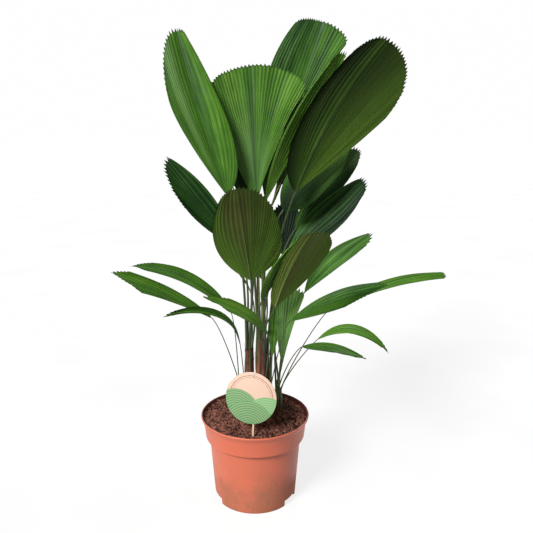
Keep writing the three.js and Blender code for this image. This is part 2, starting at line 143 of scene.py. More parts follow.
LEAVES = (
    Leaf("left_tall", ("left", 190), (-48, -5, 596), (-138, 50, 882), (10, 20),
         left=(50, 0.6, 53, 0.44), right=(16, 0.95, 80, 0.12), fold=(28, 20), curl=(-30, 0),
         arch=0.03, bow=-0.02, tone=(0.62, 0.62), crisp=0.5, pleat=1.1, tooth=1.1,
         bloom=((-0.42, 0.12, 0.8, 0.6, 0.7),), painted_shade=((0.12, 0.13, 0.55, 0.5, 0.16),)),
    Leaf("left_rear", ("left", 80), (-16, 62, 568), (-132, 128, 872), (20, 10),
         left=(40, 0.6, 20, 0.3), right=(14, 0.7, 56, 0.3), tone=(0.25, 0.25)),
    Leaf("centre_fan", ("middle", 150), (5, 25, 583), (0, 50, 823), (0, 10),
         left=(80, 0.78, 36, 0.2), right=(92, 0.76, 25, 0.35), fold=(6, 6), ruffle=5,
         tone=(0.67, 0.63), crisp=0.8, tooth=0.55,
         bloom=((-0.35, 0.4, 0.35, 0.3, 0.4), (0.45, 0.25, 0.25, 0.2, 0.45)),
         painted_shade=((-0.35, 0.5, 0.12, 0.28, 0.2), (-0.06, 0.1, 0.5, 0.5, 0.3)), pale=0.6, dry=0.5),
    Leaf("top_fan", ("middle", 90), (20, 66, 583), (124, 96, 904), (0, 15),
         left=(47, 0.93, 98, 0.53), right=(57, 0.9, 0, 0.5), fold=(12, 10), arch=0.04,
         tone=(0.4, 0.58), crisp=0.6, pleat=0.88, tooth=0.55, pale=1.0),
    Leaf("top_edge", ("middle", 210), (21, 6, 586), (160, 10, 838), (30, 10),
         left=(24, 0.9, 60, 0.35), right=(4, 0.5, 4, 0.25), fold=(15, 15), tone=(0.72, 0.85)),
    Leaf("inner_dark", ("back", 180), (47, 20, 612), (144, 26, 788), (180, 10),
         left=(45, 0.6, 45, 0.3), fold=(0, 0), tone=(0.0, 0.1), pale=0.7),
    Leaf("right_tall", ("middle", 30), (73, -30, 605), (206, -120, 844), (200, 10),
         left=(103, 0.61, 86, 0.36), right=(31, 0.82, 64, 0.12), fold=(10, 24), arch=0.05,
         bow=0.02, tone=(1.3, 0.0), crisp=0.75, tooth=0.75, painted_shade=((0.4, 0.6, 0.9, 0.4, 0.3),)),
    Leaf("right_under", ("back", 270), (53, 10, 567), (163, 20, 701), (0, 20),
         left=(40, 0.6, 40, 0.1), tone=(0.7, 0.6), bloom=((0, 1.5, 0.8, 0.35, 0.3),),
         painted_shade=((0, 1.5, 0.0, 0.5, 0.75),)),
    Leaf("right_mid", ("back", 340), (78, 62, 523), (199, 100, 674), (-20, 30),
         left=(18, 0.88, 40, 0.33), right=(24, 0.86, 42, 0.5), fold=(15, 15), tone=(0.6, 0.2),
         bloom=((-0.3, 0.8, 0.8, 0.4, 0.3),)),
    Leaf("right_rear", (50, 28), (65, 28, 487), (203, 46, 620), (-30, 30), left=(8, 0.95, 50, 0.4),
         right=(28, 0.84, 70, 0.36), fold=(10, 10), tone=(0.5, 0.04), crisp=0.6),
    Leaf("centre_rear", ("back", 60), (54, 62, 472), (58, 92, 571), (0, 10),
         left=(25, 0.6, 25, 0.3), right=(36, 0.6, 30, 0.3), fold=(5, 5), tone=(-0.2, -0.12),
         crisp=0.7),
    Leaf("front_right", ("middle", 330), (37, -60, 403), (96, -130, 549), (195, 40),
         left=(70, 0.62, 66, 0.3), right=(12, 0.85, 28, 0.1), fold=(15, 25), arch=0.06,
         tone=(1.0, 0.66), crisp=0.65, tooth=0.35, bloom=((0.1, 0.9, 0.6, 0.8, 0.45),), rib=0.8,
         dry=0.6),
    Leaf("front_slim", ("middle", 270), (14, -45, 410), (84, -80, 537), (30, 10),
         left=(10, 0.85, 46, 0.35), right=(3, 0.6, 3, 0.3), fold=(20, 20), tone=(0.72, 0.62),
         dry=0.6),
    Leaf("front_centre", ("left", 285), (-5, -70, 455), (-24, -150, 622), (188, 30),
         left=(66, 0.25, 56, 0.08), right=(33, 0.84, 84, 0.27), arch=0.05, point=0.12,
         tone=(0.66, 0.7), crisp=0.7, tooth=0.6, bloom=((0.1, 0.45, 0.75, 0.45, 0.4),), rib=0.4),
    Leaf("left_mid", ("left", 137), (-35, 20, 498), (-157, 20, 659), (-10, 30),
         left=(31, 0.5, 27, 0.25), right=(6, 0.97, 42, 0.5), fold=(10, 10), tone=(0.22, 0.3),
         tooth=1.25),
    Leaf("spear_mid", ("right", 90), (95, 10, 412), (215, 10, 522), (-20, 40),
         left=(6, 0.97, 52, 0.36), right=(14, 0.74, 10, 0.4), fold=(10, 10), arch=0.02,
         tone=(0.45, 0.6), crisp=0.6),
    Leaf("right_long", (20, -20), (66, -60, 378), (232, -80, 449), (0, 50),
         left=(12, 0.9, 34, 0.4), right=(20, 0.56, 20, 0.3), fold=(-17, -12), arch=0.09,
         point=0.85, tone=(0.4, 0.55), tooth=0.6, split=True),
    Leaf("right_longest", ("right", 10), (143, 10, 377), (357, 10, 444), (0, 70),
         left=(9, 0.97, 26, 0.35), right=(12, 0.97, 12, 0.6), arch=0.065, tone=(0.62, 0.68),
         tooth=0.5, split=True),
    Leaf("right_arch", ("right", 312), (115, -60, 343), (234, -100, 332), (0, 70),
         left=(8, 0.85, 20, 0.3), right=(8, 0.75, 28, 0.22), fold=(15, 15), arch=0.28, point=0.85,
         tone=(0.65, 0.65), tooth=0.6, split=True),
    Leaf("right_low", ("right", 254), (86, -90, 340), (187, -150, 339), (0, 65),
         left=(6, 0.84, 13, 0.3), right=(8, 0.76, 24, 0.25), arch=0.105, point=0.85,
         tone=(0.45, 0.45), tooth=0.6, split=True),
    Leaf("left_long", (-12, -9), (-78, -50, 381), (-246, -75, 471), (0, 50),
         left=(22, 0.68, 10, 0.35), right=(12, 0.85, 18, 0.3), arch=0.055, point=0.85,
         tone=(0.5, 0.6), tooth=0.6, split=True),
    Leaf("left_arch", (-28, 8), (-47, 0, 379), (-231, 10, 461), (0, 55), left=(11, 0.8, 20, 0.3),
         arch=0.19, point=0.85, tone=(0.5, 0.55), tooth=0.6, split=True),
    Leaf("front_low", (12, -26), (25, -110, 369), (-79, -170, 454), (0, 50),
         left=(14, 0.7, 15, 0.3), right=(12, 0.7, 16, 0.3), arch=0.12, point=0.85,
         tone=(0.7, 0.75), tooth=0.6, split=True),
    Leaf("left_low", (-14, -20), (-26, -45, 329), (-153, -110, 403), (0, 65),
         left=(6, 0.8, 15, 0.24), right=(5, 0.8, 14, 0.24), arch=0.265, point=0.85,
         tone=(0.5, 0.5), tooth=0.6, split=True),
    Leaf("spear_right", ("right", 196), (52, -30, 287), (67, -12, 427), (0, 5),
         left=(24, 0.75, 20, 0.3), right=(28, 0.9, 8, 0.4), fold=(25, 25), tone=(0.6, 0.65),
         bloom=((0, 1.5, 0.5, 1.0, 0.35),)),
    Leaf("spear_small", (33, -12), (33, -14, 294), (44, 8, 396), (-10, 5),
         left=(12, 0.75, 12, 0.3), fold=(30, 30), tone=(0.6, 0.6)),
    Leaf("rear_tall", (-4, 46), (-5, 95, 540), (-30, 190, 795), (115, 15),
         left=(46, 0.65, 30, 0.3), arch=0.04, tone=(0.55, 0.5)),
    Leaf("rear_high", (14, 66), (34, 130, 560), (52, 262, 800), (85, 15), left=(44, 0.65, 30, 0.3),
         arch=0.05, tone=(0.5, 0.55)),
    Leaf("rear_right", (30, 52), (70, 85, 500), (150, 190, 690), (120, 20),
         left=(46, 0.65, 30, 0.3), arch=0.05, tone=(0.45, 0.5)),
    Leaf("rear_middle", (-18, 54), (-6, 122, 500), (-42, 245, 690), (250, 20),
         left=(40, 0.65, 26, 0.3), arch=0.05, tone=(0.5, 0.45)),
    Leaf("rear_left", (-22, 36), (-14, 75, 405), (-52, 155, 545), (235, 30),
         left=(30, 0.65, 22, 0.3), arch=0.08, tone=(0.45, 0.4)),
    Leaf("rear_low_right", (42, 40), (60, 75, 382), (108, 190, 478), (130, 45),
         left=(26, 0.7, 22, 0.3), arch=0.1, tone=(0.5, 0.5)),
    Leaf("rear_low_left", (2, 56), (18, 90, 412), (16, 210, 480), (215, 50),
         left=(26, 0.7, 22, 0.3), arch=0.12, tone=(0.5, 0.45)),
)


# Sizes and colours


def length(name, description, default, **limits):
    return FloatProperty(
        name=name, description=description, default=default, unit="LENGTH", **limits
    )


def count(name, description, default, **limits):
    return IntProperty(name=name, description=description, default=default, **limits)


def tint(name, description, *screen):
    """A colour given by its three screen values of 0 to 255 and held as linear light."""
    shares = [value / 255 for value in screen]
    linear = [c / 12.92 if c <= 0.04045 else ((c + 0.055) / 1.055) ** 2.4 for c in shares]
    shade = (*linear, 1.0)
    return FloatVectorProperty(
        name=name, description=description, default=shade, size=4, subtype="COLOR", min=0, max=1
    )


POT_LOW, POT_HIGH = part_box("pot")
SOIL_LOW, SOIL_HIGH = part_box("soil")


class PotSizes(bpy.types.PropertyGroup):
    """Sizes of the pot"""

    height: length("Height", "From the foot to the lip", POT_HIGH.z - POT_LOW.z)
    lip: length("Lip radius", "Outside of the rolled lip", (POT_HIGH.x - POT_LOW.x) / 2)
    lip_width: length("Lip width", "Thickness of the rolled lip", 2.8 * MM)
    collar_top: length("Collar radius, top", "Band just under the lip", 100.2 * MM)
    collar_foot: length("Collar radius, foot", "Foot of the band", 96.4 * MM)
    collar_height: length("Collar height", "From the lip down to the step", 43 * MM)
    shoulder: length("Shoulder radius", "Wall just below the collar", 89 * MM)
    base: length("Base radius", "Foot of the wall", 79.5 * MM)
    wall: length("Wall", "Thickness of the plastic", 2.4 * MM)
    floor: length("Floor", "Height of the floor inside", 15 * MM)
    notch_height: length("Notch height", "Notches in the foot", 12 * MM)
    notch_depth: length("Notch depth", "Notches in the foot", 15 * MM)
    sides: count("Sides", "Segments round the pot", 144, min=24)


class SoilSizes(bpy.types.PropertyGroup):
    """Sizes of the soil"""

    lumps: length("Lumps", "Rise and fall of the soil", 3.4 * MM)
    crumbs: count("Crumbs", "Crumbs on a square metre", 170000)
    crumb_small: length("Smallest crumb", "Radius", 0.6 * MM)
    crumb_large: length("Largest crumb", "Radius", 4.2 * MM)
    grains: count("White grains", "Grains on a square metre", 2300)
    grain_small: length("Smallest grain", "Radius", 0.7 * MM)
    grain_large: length("Largest grain", "Radius", 1.5 * MM)
    seed: count("Seed", "Places of crumbs and grains", 5)


class StemSizes(bpy.types.PropertyGroup):
    """Sizes of the stems"""

    relief: length("Relief", "Depth of the ridges of the leaf sheaths", 0.8 * MM)
    sheath: length("Sheath step", "Height between the edges of the sheaths", 38 * MM)
    fibres: count("Fibres", "Fibres on a square metre of stem", 5200)
    fibre: length("Fibre", "Length of a fibre", 24 * MM)
    seed: count("Seed", "Places of the fibres", 3)


class LeafSizes(bpy.types.PropertyGroup):
    """Sizes of the leaves and their stalks"""

    pleat: length("Pleat width", "At the outer edge", 6.8 * MM, min=2 * MM)
    pleat_least: length("Least pleat width", "Half way up the leaf", 2.3 * MM, min=1 * MM)
    slope: FloatProperty(name="Pleat slope", description="Rise over run of a pleat", default=0.46)
    tooth: length("Tooth", "Length of the teeth on the outer edge", 6.0 * MM)
    thickness: length("Thickness", "Of the blade", 0.45 * MM)
    flutter: length("Flutter", "Uneven waves towards the edge", 3.0 * MM)
    folds: length("Broad folds", "Rise of folds that are several pleats wide", 16.0 * MM)
    rows: count("Rows", "Steps from the base to the edge", 26, min=4)
    stalk_foot: length("Stalk foot", "Radius at the foot", 2.7 * MM)
    stalk: length("Stalk", "Radius above the foot", 2.1 * MM)
    stalk_tip: length("Stalk tip", "Radius at the leaf", 1.35 * MM)
    seed: count("Seed", "Uneven pleats and waves", 11)


class TagSizes(bpy.types.PropertyGroup):
    """Sizes of the card and its stick"""

    radius: length("Card radius", "Of the round card", 47.5 * MM)
    card: length("Card", "Thickness", 1.2 * MM)
    slot: length("Slot", "Depth of the slot in the top", 9 * MM)
    stick: length("Stick", "Width", 3.4 * MM)
    point: length("Point", "Height of the stick's point", 10 * MM)


class Colours(bpy.types.PropertyGroup):
    """Colours of the finishes"""

    pot: tint("Pot", "Terracotta-coloured plastic", 222, 113, 82)
    pot_dust: tint("Pot dust", "Dry dust near the foot", 176, 108, 78)
    pot_scuff: tint("Pot scuff", "Grey-green marks", 140, 110, 84)
    # Painted light: the collar's colour is lighter than the wall's, standing in for light where the
    # lip and leaves shade it
    pot_collar_painted_light: tint("Pot collar", "Brighter plastic of the collar", 232, 114, 80)
    # Painted shade of the inner wall under the lip, together with the soil's stain
    pot_inside_stain_and_shade: tint("Pot stain", "Inner wall, stained by the soil", 92, 38, 28)
    soil: tint("Soil", "Dark of the soil", 38, 23, 18)
    soil_light: tint("Soil crumb", "Light of the soil", 160, 104, 86)
    grain: tint("Grain", "White grains in the soil", 225, 215, 205)
    leaf_shade: tint("Leaf, dark", "Darkest green", 10, 30, 10)
    leaf_deep: tint("Leaf, deep", "Deep green", 32, 68, 24)
    leaf_mid: tint("Leaf, middle", "Middle green", 72, 120, 33)
    leaf_fresh: tint("Leaf, fresh", "Lightest green", 128, 172, 64)
    # Painted sheen: the grey-green that stands for reflections on the glossy upper side
    leaf_bloom: tint("Leaf bloom", "Grey-green bloom of the upper side", 134, 172, 110)
    under_shade: tint("Underside, dark", "Darkest olive", 16, 26, 8)
    under_mid: tint("Underside, middle", "Olive green", 46, 70, 20)
    under_fresh: tint("Underside, fresh", "Lightest olive green", 104, 142, 48)
    under_brown: tint("Underside, brown", "Dry brown tinge", 108, 88, 60)
    tooth: tint("Tooth", "Dry tips of the teeth", 24, 26, 16)
    stalk: tint("Stalk", "Dark green of a stalk", 32, 50, 21)
    stalk_pale: tint("Stalk, pale", "Yellow-green of a young stalk", 150, 158, 84)
    sheath: tint("Sheath", "Brown sheath at a stalk's foot", 142, 84, 60)
    stem: tint("Stem", "Dark brown of the stem", 62, 38, 28)
    fibre: tint("Fibre", "Light brown of the fibres", 140, 98, 72)
    card: tint("Card", "Card of the tag", 232, 192, 166)
    card_line: tint("Card line", "Thin rings", 150, 96, 76)
    card_green: tint("Card green", "Printed hill", 112, 186, 118)
    card_deep: tint("Card deep green", "Printed hills in the deeper ink", 78, 156, 92)
    stick: tint("Stick", "Plain wood", 238, 204, 164)
    floor: tint("Floor", "Grey under the pale floor's own light", 120, 120, 120)


SETTINGS = {
    "palm_pot": PotSizes,
    "palm_soil": SoilSizes,
    "palm_stem": StemSizes,
    "palm_leaf": LeafSizes,
    "palm_tag": TagSizes,
    "palm_colours": Colours,
}


# Nodes


class Value:
    """What comes out of a node. A sum with it is a node too."""

    def __init__(self, socket):
        self.socket = socket
        self.tree = socket.id_data

    def __add__(self, other):
        return maths("ADD", self, other)

    def __sub__(self, other):
        return maths("SUBTRACT", self, other)

    def __mul__(self, other):
        return maths("MULTIPLY", self, other)

    def to(self, target, name):
        """Links it to an input of the node target."""
        self.tree.links.new(self.socket, target.inputs[name])

    def then(self, kind, inputs=None, **settings):
        """The geometry that the next geometry node makes of this one."""
        return node(self.tree, f"GeometryNode{kind}", {0: self, **(inputs or {})}, **settings)


def node(tree, kind, inputs=None, output=0, **settings):
    """Adds a node and gives back its output. inputs maps a socket's name or number to a value."""
    made = tree.nodes.new(kind)
    for name, value in settings.items():
        setattr(made, name, value)
    for name, value in (inputs or {}).items():
        if isinstance(value, Value):
            value.to(made, name)
        else:
            made.inputs[name].default_value = value
    return Value(made.outputs[output])


def maths(operation, *values, clamp=False):
    tree = next(value.tree for value in values if isinstance(value, Value))
    inputs = dict(enumerate(values))
    return node(tree, "ShaderNodeMath", inputs, operation=operation, use_clamp=clamp)


def vector_maths(operation, first, second=None):
    inputs = {0: first}
    if second is not None:
        inputs[3 if operation == "SCALE" else 1] = second
    output = "Value" if operation in ("LENGTH", "DISTANCE") else 0
    return node(first.tree, "ShaderNodeVectorMath", inputs, output, operation=operation)


def axis(vector, name):
    return node(vector.tree, "ShaderNodeSeparateXYZ", {0: vector}, name)


def spread_out(value, low, high, new_low=0, new_high=1, smooth=True):
    """value from low..high to new_low..new_high, held at the ends."""
    inputs = {"Value": value, "From Min": low, "From Max": high}
    inputs.update({"To Min": new_low, "To Max": new_high})
    way = "SMOOTHSTEP" if smooth else "LINEAR"
    return node(value.tree, "ShaderNodeMapRange", inputs, interpolation_type=way)


def blend(factor, first, second):
    """Mixes two colours."""
    inputs = {0: factor, 6: first, 7: second}
    return node(factor.tree, "ShaderNodeMix", inputs, 2, data_type="RGBA")


def ramp(factor, stops):
    """A colour that runs through (place, colour) stops."""
    made = node(factor.tree, "ShaderNodeValToRGB", {"Fac": factor})
    elements = made.socket.node.color_ramp.elements
    while len(elements) < len(stops):
        elements.new(0.5)
    for element, (place, shade) in zip(elements, stops):
        element.position = place
        element.color = shade
    return made


def cloud(vector, scale, detail=3, roughness=0.55, stretch=(1, 1, 1), shift=(0, 0, 0)):
    """Noise of 0 to 1 about 0.5, stretched along the axes of vector."""
    placed = node(
        vector.tree, "ShaderNodeMapping", {"Vector": vector, "Scale": stretch, "Location": shift}
    )
    inputs = {"Vector": placed, "Scale": scale, "Detail": detail, "Roughness": roughness}
    return node(vector.tree, "ShaderNodeTexNoise", inputs)


def attribute(tree, name):
    return node(tree, "ShaderNodeAttribute", output="Fac", attribute_name=name)


def material(name, roughness, specular=0.5):
    """A new material, its shader and the place in the object's own coordinates."""
    made = bpy.data.materials.new(name)
    made.use_nodes = True
    tree = made.node_tree
    shader = next(n for n in tree.nodes if n.type == "BSDF_PRINCIPLED")
    shader.inputs["Roughness"].default_value = roughness
    shader.inputs["Specular IOR Level"].default_value = specular
    return made, shader, node(tree, "ShaderNodeTexCoord", output="Object")


def bump(shader, height, distance, strength):
    inputs = {"Height": height, "Distance": distance, "Strength": strength}
    node(height.tree, "ShaderNodeBump", inputs).to(shader, "Normal")


def geometry_tree(name, **inputs):
    """A geometry tree and its inputs by name. inputs maps a kind of socket to names."""
    tree = bpy.data.node_groups.new(name, "GeometryNodeTree")
    for kind, labels in {"Geometry": ["Geometry"], **inputs}.items():
        for label in labels:
            tree.interface.new_socket(label, in_out="INPUT", socket_type=f"NodeSocket{kind}")
    tree.interface.new_socket("Geometry", in_out="OUTPUT", socket_type="NodeSocketGeometry")
    return tree, {s.name: Value(s) for s in tree.nodes.new("NodeGroupInput").outputs if s.name}


def close_tree(geometry):
    """Makes the geometry what its tree gives back."""
    geometry.to(geometry.tree.nodes.new("NodeGroupOutput"), 0)
    return geometry.tree


def field(tree, name, kind="FLOAT"):
    """A named attribute as a field."""
    return node(tree, "GeometryNodeInputNamedAttribute", {"Name": name}, data_type=kind)


def chance(low, high, seed, number=None):
    """A random number or vector between low and high for each point, or for each number."""
    many = isinstance(low, tuple)
    first = 0 if many else 2
    inputs = {first: low, first + 1: high, "Seed": seed}
    if number is not None:
        inputs["ID"] = number
    kind = "FLOAT_VECTOR" if many else "FLOAT"
    return node(seed.tree, "FunctionNodeRandomValue", inputs, 0 if many else 1, data_type=kind)


def put_nodes(piece, tree, values):
    """Gives the piece a geometry modifier with these named inputs."""
    modifier = piece.modifiers.new(tree.name, "NODES")
    modifier.node_group = tree
    for item in tree.interface.items_tree:
        if item.in_out == "INPUT" and item.name in values:
            modifier[item.identifier] = values[item.name]


# Meshes


def new_piece(name, points, faces, finish=None, attributes=None, uv=None, edges=()):
    """A mesh object. attributes maps a name to values on the points, uv holds a pair for each."""
    mesh = bpy.data.meshes.new(name)
    mesh.from_pydata([tuple(p) for p in points], edges, faces)
    for key, values in (attributes or {}).items():
        values = np.asarray(values, np.float32)
        kind, slot = ("FLOAT_VECTOR", "vector") if values.ndim == 2 else ("FLOAT", "value")
        mesh.attributes.new(key, kind, "POINT").data.foreach_set(slot, values.ravel())
    if uv is not None:
        corners = np.empty(len(mesh.loops), np.int32)
        mesh.loops.foreach_get("vertex_index", corners)
        layer = mesh.uv_layers.new(name="ribs")
        layer.data.foreach_set("uv", np.asarray(uv, np.float32)[corners].ravel())
    if finish:
        mesh.materials.append(finish)
    return link(bpy.data.objects.new(name, mesh))


def link(piece):
    bpy.context.scene.collection.objects.link(piece)
    return piece


def scattered(name, carrier, tree, values):
    """A piece of what a tree scatters over a copy of the carrier."""
    piece = link(bpy.data.objects.new(name, carrier.data.copy()))
    put_nodes(piece, tree, values)
    return piece


def settle(piece, crease=30):
    """Turns what the modifiers make into the piece's own plain mesh."""
    depsgraph = bpy.context.evaluated_depsgraph_get()
    mesh = bpy.data.meshes.new_from_object(
        piece.evaluated_get(depsgraph), preserve_all_data_layers=True, depsgraph=depsgraph
    )
    piece.modifiers.clear()
    piece.data = mesh
    mesh.name = piece.name
    mesh.shade_smooth()
    mesh.set_sharp_from_angle(angle=math.radians(crease))


def join(name, pieces):
    """Joins pieces into one, with their materials and attributes."""
    with bpy.context.temp_override(
        active_object=pieces[0], selected_objects=pieces, selected_editable_objects=pieces
    ):
        bpy.ops.object.join()
    pieces[0].name = name
    pieces[0].data.name = name
    return pieces[0]


def finish_piece(piece, slot, *nodes):
    """The piece moves with the pot and stands for the solids named; slot is not used."""
    if nodes:
        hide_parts(*nodes)
    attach(piece, BODY)


def turned(profile, sides):
    """Points and faces of a profile of (radius, height) turned round Z."""
    points, faces, rings = [], [], []
    for radius, height in profile:
        if radius < 1e-6:
            rings.append([len(points)] * sides)
            points.append((0, 0, height))
            continue
        rings.append(list(range(len(points), len(points) + sides)))
        points += [(*on_ring(radius, 2 * math.pi * i / sides), height) for i in range(sides)]
    for low, high in zip(rings, rings[1:]):
        for i in range(sides):
            j = (i + 1) % sides
            face = [low[i], low[j], high[j], high[i]]
            faces.append([v for k, v in enumerate(face) if v not in face[:k]])
    return points, faces


def on_ring(radius, angle):
    return radius * math.cos(angle), radius * math.sin(angle)


def arc(centre, radius, start, end, steps):
    """Points (radius, height) on a round corner of a profile, angles in degrees."""
    spots = [on_ring(radius, a) for a in np.radians(np.linspace(start, end, steps + 1))]
    return [(centre[0] + x, centre[1] + y) for x, y in spots]


def towards(azimuth, elevation):
    """A direction in degrees: azimuth 0 to the front and 90 to the right, elevation above level."""
    turn, tilt = math.radians(azimuth), math.radians(elevation)
    level = math.cos(tilt)
    return np.array([level * math.sin(turn), -level * math.cos(turn), math.sin(tilt)])


def unit(vectors):
    return vectors / np.maximum(np.linalg.norm(vectors, axis=-1, keepdims=True), 1e-12)


# Leaves


class Midrib:
    """The curved middle line of a leaf, read by the share of its length."""

    def __init__(self, leaf):
        base, tip = np.array(leaf.base, float) * MM, np.array(leaf.tip, float) * MM
        chord = tip - base
        span = np.linalg.norm(chord)
        along = chord / span
        facing = towards(*leaf.face)
        self.up = unit(facing - along * facing.dot(along))
        side = np.cross(along, self.up)
        middle = (base + tip) / 2
        middle = middle + self.up * 2 * leaf.arch * span + side * 2 * leaf.bow * span
        self.ends = base, middle, tip
        self.steps = np.linspace(0, 1, 201)
        pieces = np.linalg.norm(np.diff(self.at_step(self.steps), axis=0), axis=1)
        self.distance = np.concatenate([[0], np.cumsum(pieces)])
        self.length = self.distance[-1]

    def at_step(self, step):
        step = np.asarray(step)[..., None]
        base, middle, tip = self.ends
        return (1 - step) ** 2 * base + 2 * step * (1 - step) * middle + step**2 * tip

    def at(self, share):
        """Places and directions at shares of the length."""
        step = np.interp(np.asarray(share) * self.length, self.distance, self.steps)
        base, middle, tip = self.ends
        heading = (1 - step)[..., None] * (middle - base) + step[..., None] * (tip - middle)
        return self.at_step(step), unit(heading)


def folded(x, fold, curl):
    """Distance across and height of a leaf half after it is folded up along the midrib."""
    start = np.radians(fold)
    rate = np.radians(curl) / (100 * MM)
    flat = np.abs(rate) < 1e-6
    safe = np.where(flat, 1, rate)
    end = start + rate * x
    across = np.where(flat, x * np.cos(start), (np.sin(end) - np.sin(start)) / safe)
    rise = np.where(flat, x * np.sin(start), (np.cos(start) - np.cos(end)) / safe)
    return across, rise


def leaf_rim(half, point, span, share):
    """Outer edge of one half and the place that pulls it. share: 0 at the tip, 1 at its end.

    The toothed edge is an arc that leaves the tip square to the midrib and runs into the smooth
    edge without a corner.
    """
    end_x, end_y, belly_x, belly_y = half
    wide, drop = end_x * MM, span * (1 - end_y)
    x = wide
    for _ in range(8):
        lean = (x - belly_x * MM) / (span * (end_y - belly_y)) * drop
        turn = max(-lean / (lean + x), -0.9) if lean > -0.45 * x else 0.0
        if turn < 0:
            x = wide * math.sqrt(1 - turn * turn)
    angle = math.acos(turn) * share
    high = drop / (1 - turn)
    edge_x = (1 - point) * x / math.sqrt(1 - turn * turn) * np.sin(angle) + point * x * share
    edge_y = span - (1 - point) * high * (1 - np.cos(angle)) - point * drop * share
    rise = 0.5 + (belly_y - 0.5) * (1 - np.cos(math.pi / 2 * share))
    return edge_x, edge_y, belly_x * MM * np.sin(math.pi / 2 * share), span * rise


def leaf_surface(leaf, t, s):
    """Places on the smooth blade. t: -1 left to 1 right, s: 0 at the base to 1 at the edge."""
    midrib = Midrib(leaf)
    halves = leaf.left, leaf.right or leaf.left
    rims = [leaf_rim(half, leaf.point, midrib.length, np.abs(t)) for half in halves]
    edge_x, edge_y, by_x, by_y = (np.where(t < 0, a, b) for a, b in zip(*rims))
    x = 2 * s * (1 - s) * by_x + s * s * edge_x + BASE_WIDTH * MM * np.abs(t) * (1 - s) ** 2
    y = 2 * s * (1 - s) * by_y + s * s * edge_y
    place, along = midrib.at(np.clip(y / midrib.length, 0, 1))
    across = unit(np.cross(along, midrib.up))
    out = np.cross(across, along)
    lateral, rise = folded(x, np.where(t < 0, *leaf.fold), np.where(t < 0, *leaf.curl))
    wave = leaf.ruffle * MM * np.sin(3 * math.pi * t + 1) * s * s
    return place + across * (np.sign(t) * lateral)[..., None] + out * (rise + wave)[..., None]


def steps_across(leaf, s, even):
    """Distances between even places from edge to edge of the blade, at this share of its reach."""
    line = leaf_surface(leaf, even, np.full(even.size, float(s)))
    return np.linalg.norm(np.diff(line, axis=0), axis=1)


def blade_sheet(leaf, sizes):
    """The blade as a smooth sheet with an even number of columns to each of its pleats."""
    wide, narrow = (steps_across(leaf, s, np.linspace(-1, 1, 201)).sum() for s in (1, 0.5))
    pleats = max(6, round(min(wide / sizes.pleat, narrow / sizes.pleat_least) / leaf.pleat))
    midrib_length = Midrib(leaf).length
    rows = max(10, round(sizes.rows * min(1, midrib_length / 0.2)))
    s = np.linspace(0, 1 - 0.8 * sizes.tooth / midrib_length, rows)
    s = np.append(s, 1.0)[:, None]
    even = np.linspace(-1, 1, 801)
    travel = np.zeros(801)
    for reach, weight in ((0.55, 0.35), (1.0, 0.65)):
        steps = steps_across(leaf, reach, even)
        travel[1:] += weight * np.cumsum(steps) / steps.sum()
    columns = np.linspace(0, 1, PLEAT_COLUMNS * pleats + 1)
    t = np.interp(columns, travel, even)[None, :]
    s, t = np.broadcast_arrays(s, t)
    places = leaf_surface(leaf, t, s)
    by_t, by_s = np.gradient(places, axis=1), np.gradient(places, axis=0)
    rib = np.broadcast_to(columns * pleats, t.shape)

    # Teeth: the ridges run on along the rib, the valleys draw back square to the edge.
    ridge = 1 - 2 * np.abs(rib[0] % 1 - 0.5)
    ahead, edge = unit(by_s[-1]), unit(by_t[-1])
    square = unit(ahead - edge * (ahead * edge).sum(axis=1, keepdims=True))
    keen = ridge[:, None]
    corner = np.clip(np.minimum(columns, 1 - columns) * pleats / 1.5, 0, 1)[:, None]
    teeth = np.zeros_like(places)
    out, back = 0.5 * ahead + 0.1 * square, 0.55 * square + 0.15 * ahead
    teeth[-1] = (keen**2 * out - (1 - keen) * back) * (leaf.tooth * corner)
    tip = np.zeros_like(s)
    tip[-1] = 0.15 + 0.85 * ridge

    def patches(spots):
        total = np.zeros_like(s)
        for centre, wide, reach, far, strength in spots:
            total += strength * np.exp(-(((t - centre) / wide) ** 2) - ((s - reach) / far) ** 2)
        return total

    low, high = leaf.tone
    steps = np.linalg.norm(np.diff(places, axis=0), axis=2)
    run = np.concatenate([0 * s[:1], np.cumsum(steps, axis=0)])
    row = t.shape[1]
    faces = [
        (a, a + 1, a + 1 + row, a + row)
        for start in range(0, s.size - row, row)
        for a in range(start, start + row - 1)
    ]
    attributes = {
        "lift": unit(np.cross(by_t, by_s)).reshape(-1, 3),
        "teeth": teeth.reshape(-1, 3),
        "rib": rib.ravel(),
        "reach": s.ravel(),
        "width": PLEAT_COLUMNS * leaf.crisp * np.linalg.norm(by_t, axis=2).ravel(),
        "tip": tip.ravel(),
        # tone across the blade, less the patches of painted shade
        "tone": (low + (high - low) * (t + 1) / 2 - patches(leaf.painted_shade)).ravel(),
        "lines": np.full(s.size, leaf.crisp),
        # patches of painted sheen on the upper side and of brown tinge on the underside
        "bloom": patches(leaf.bloom).ravel(),
    }
    uv = np.stack([rib.ravel(), run.ravel() * 100], axis=1)
    places = places.reshape(-1, 3)
    return new_piece(f"leaf_{leaf.name}", places, faces, attributes=attributes, uv=uv)


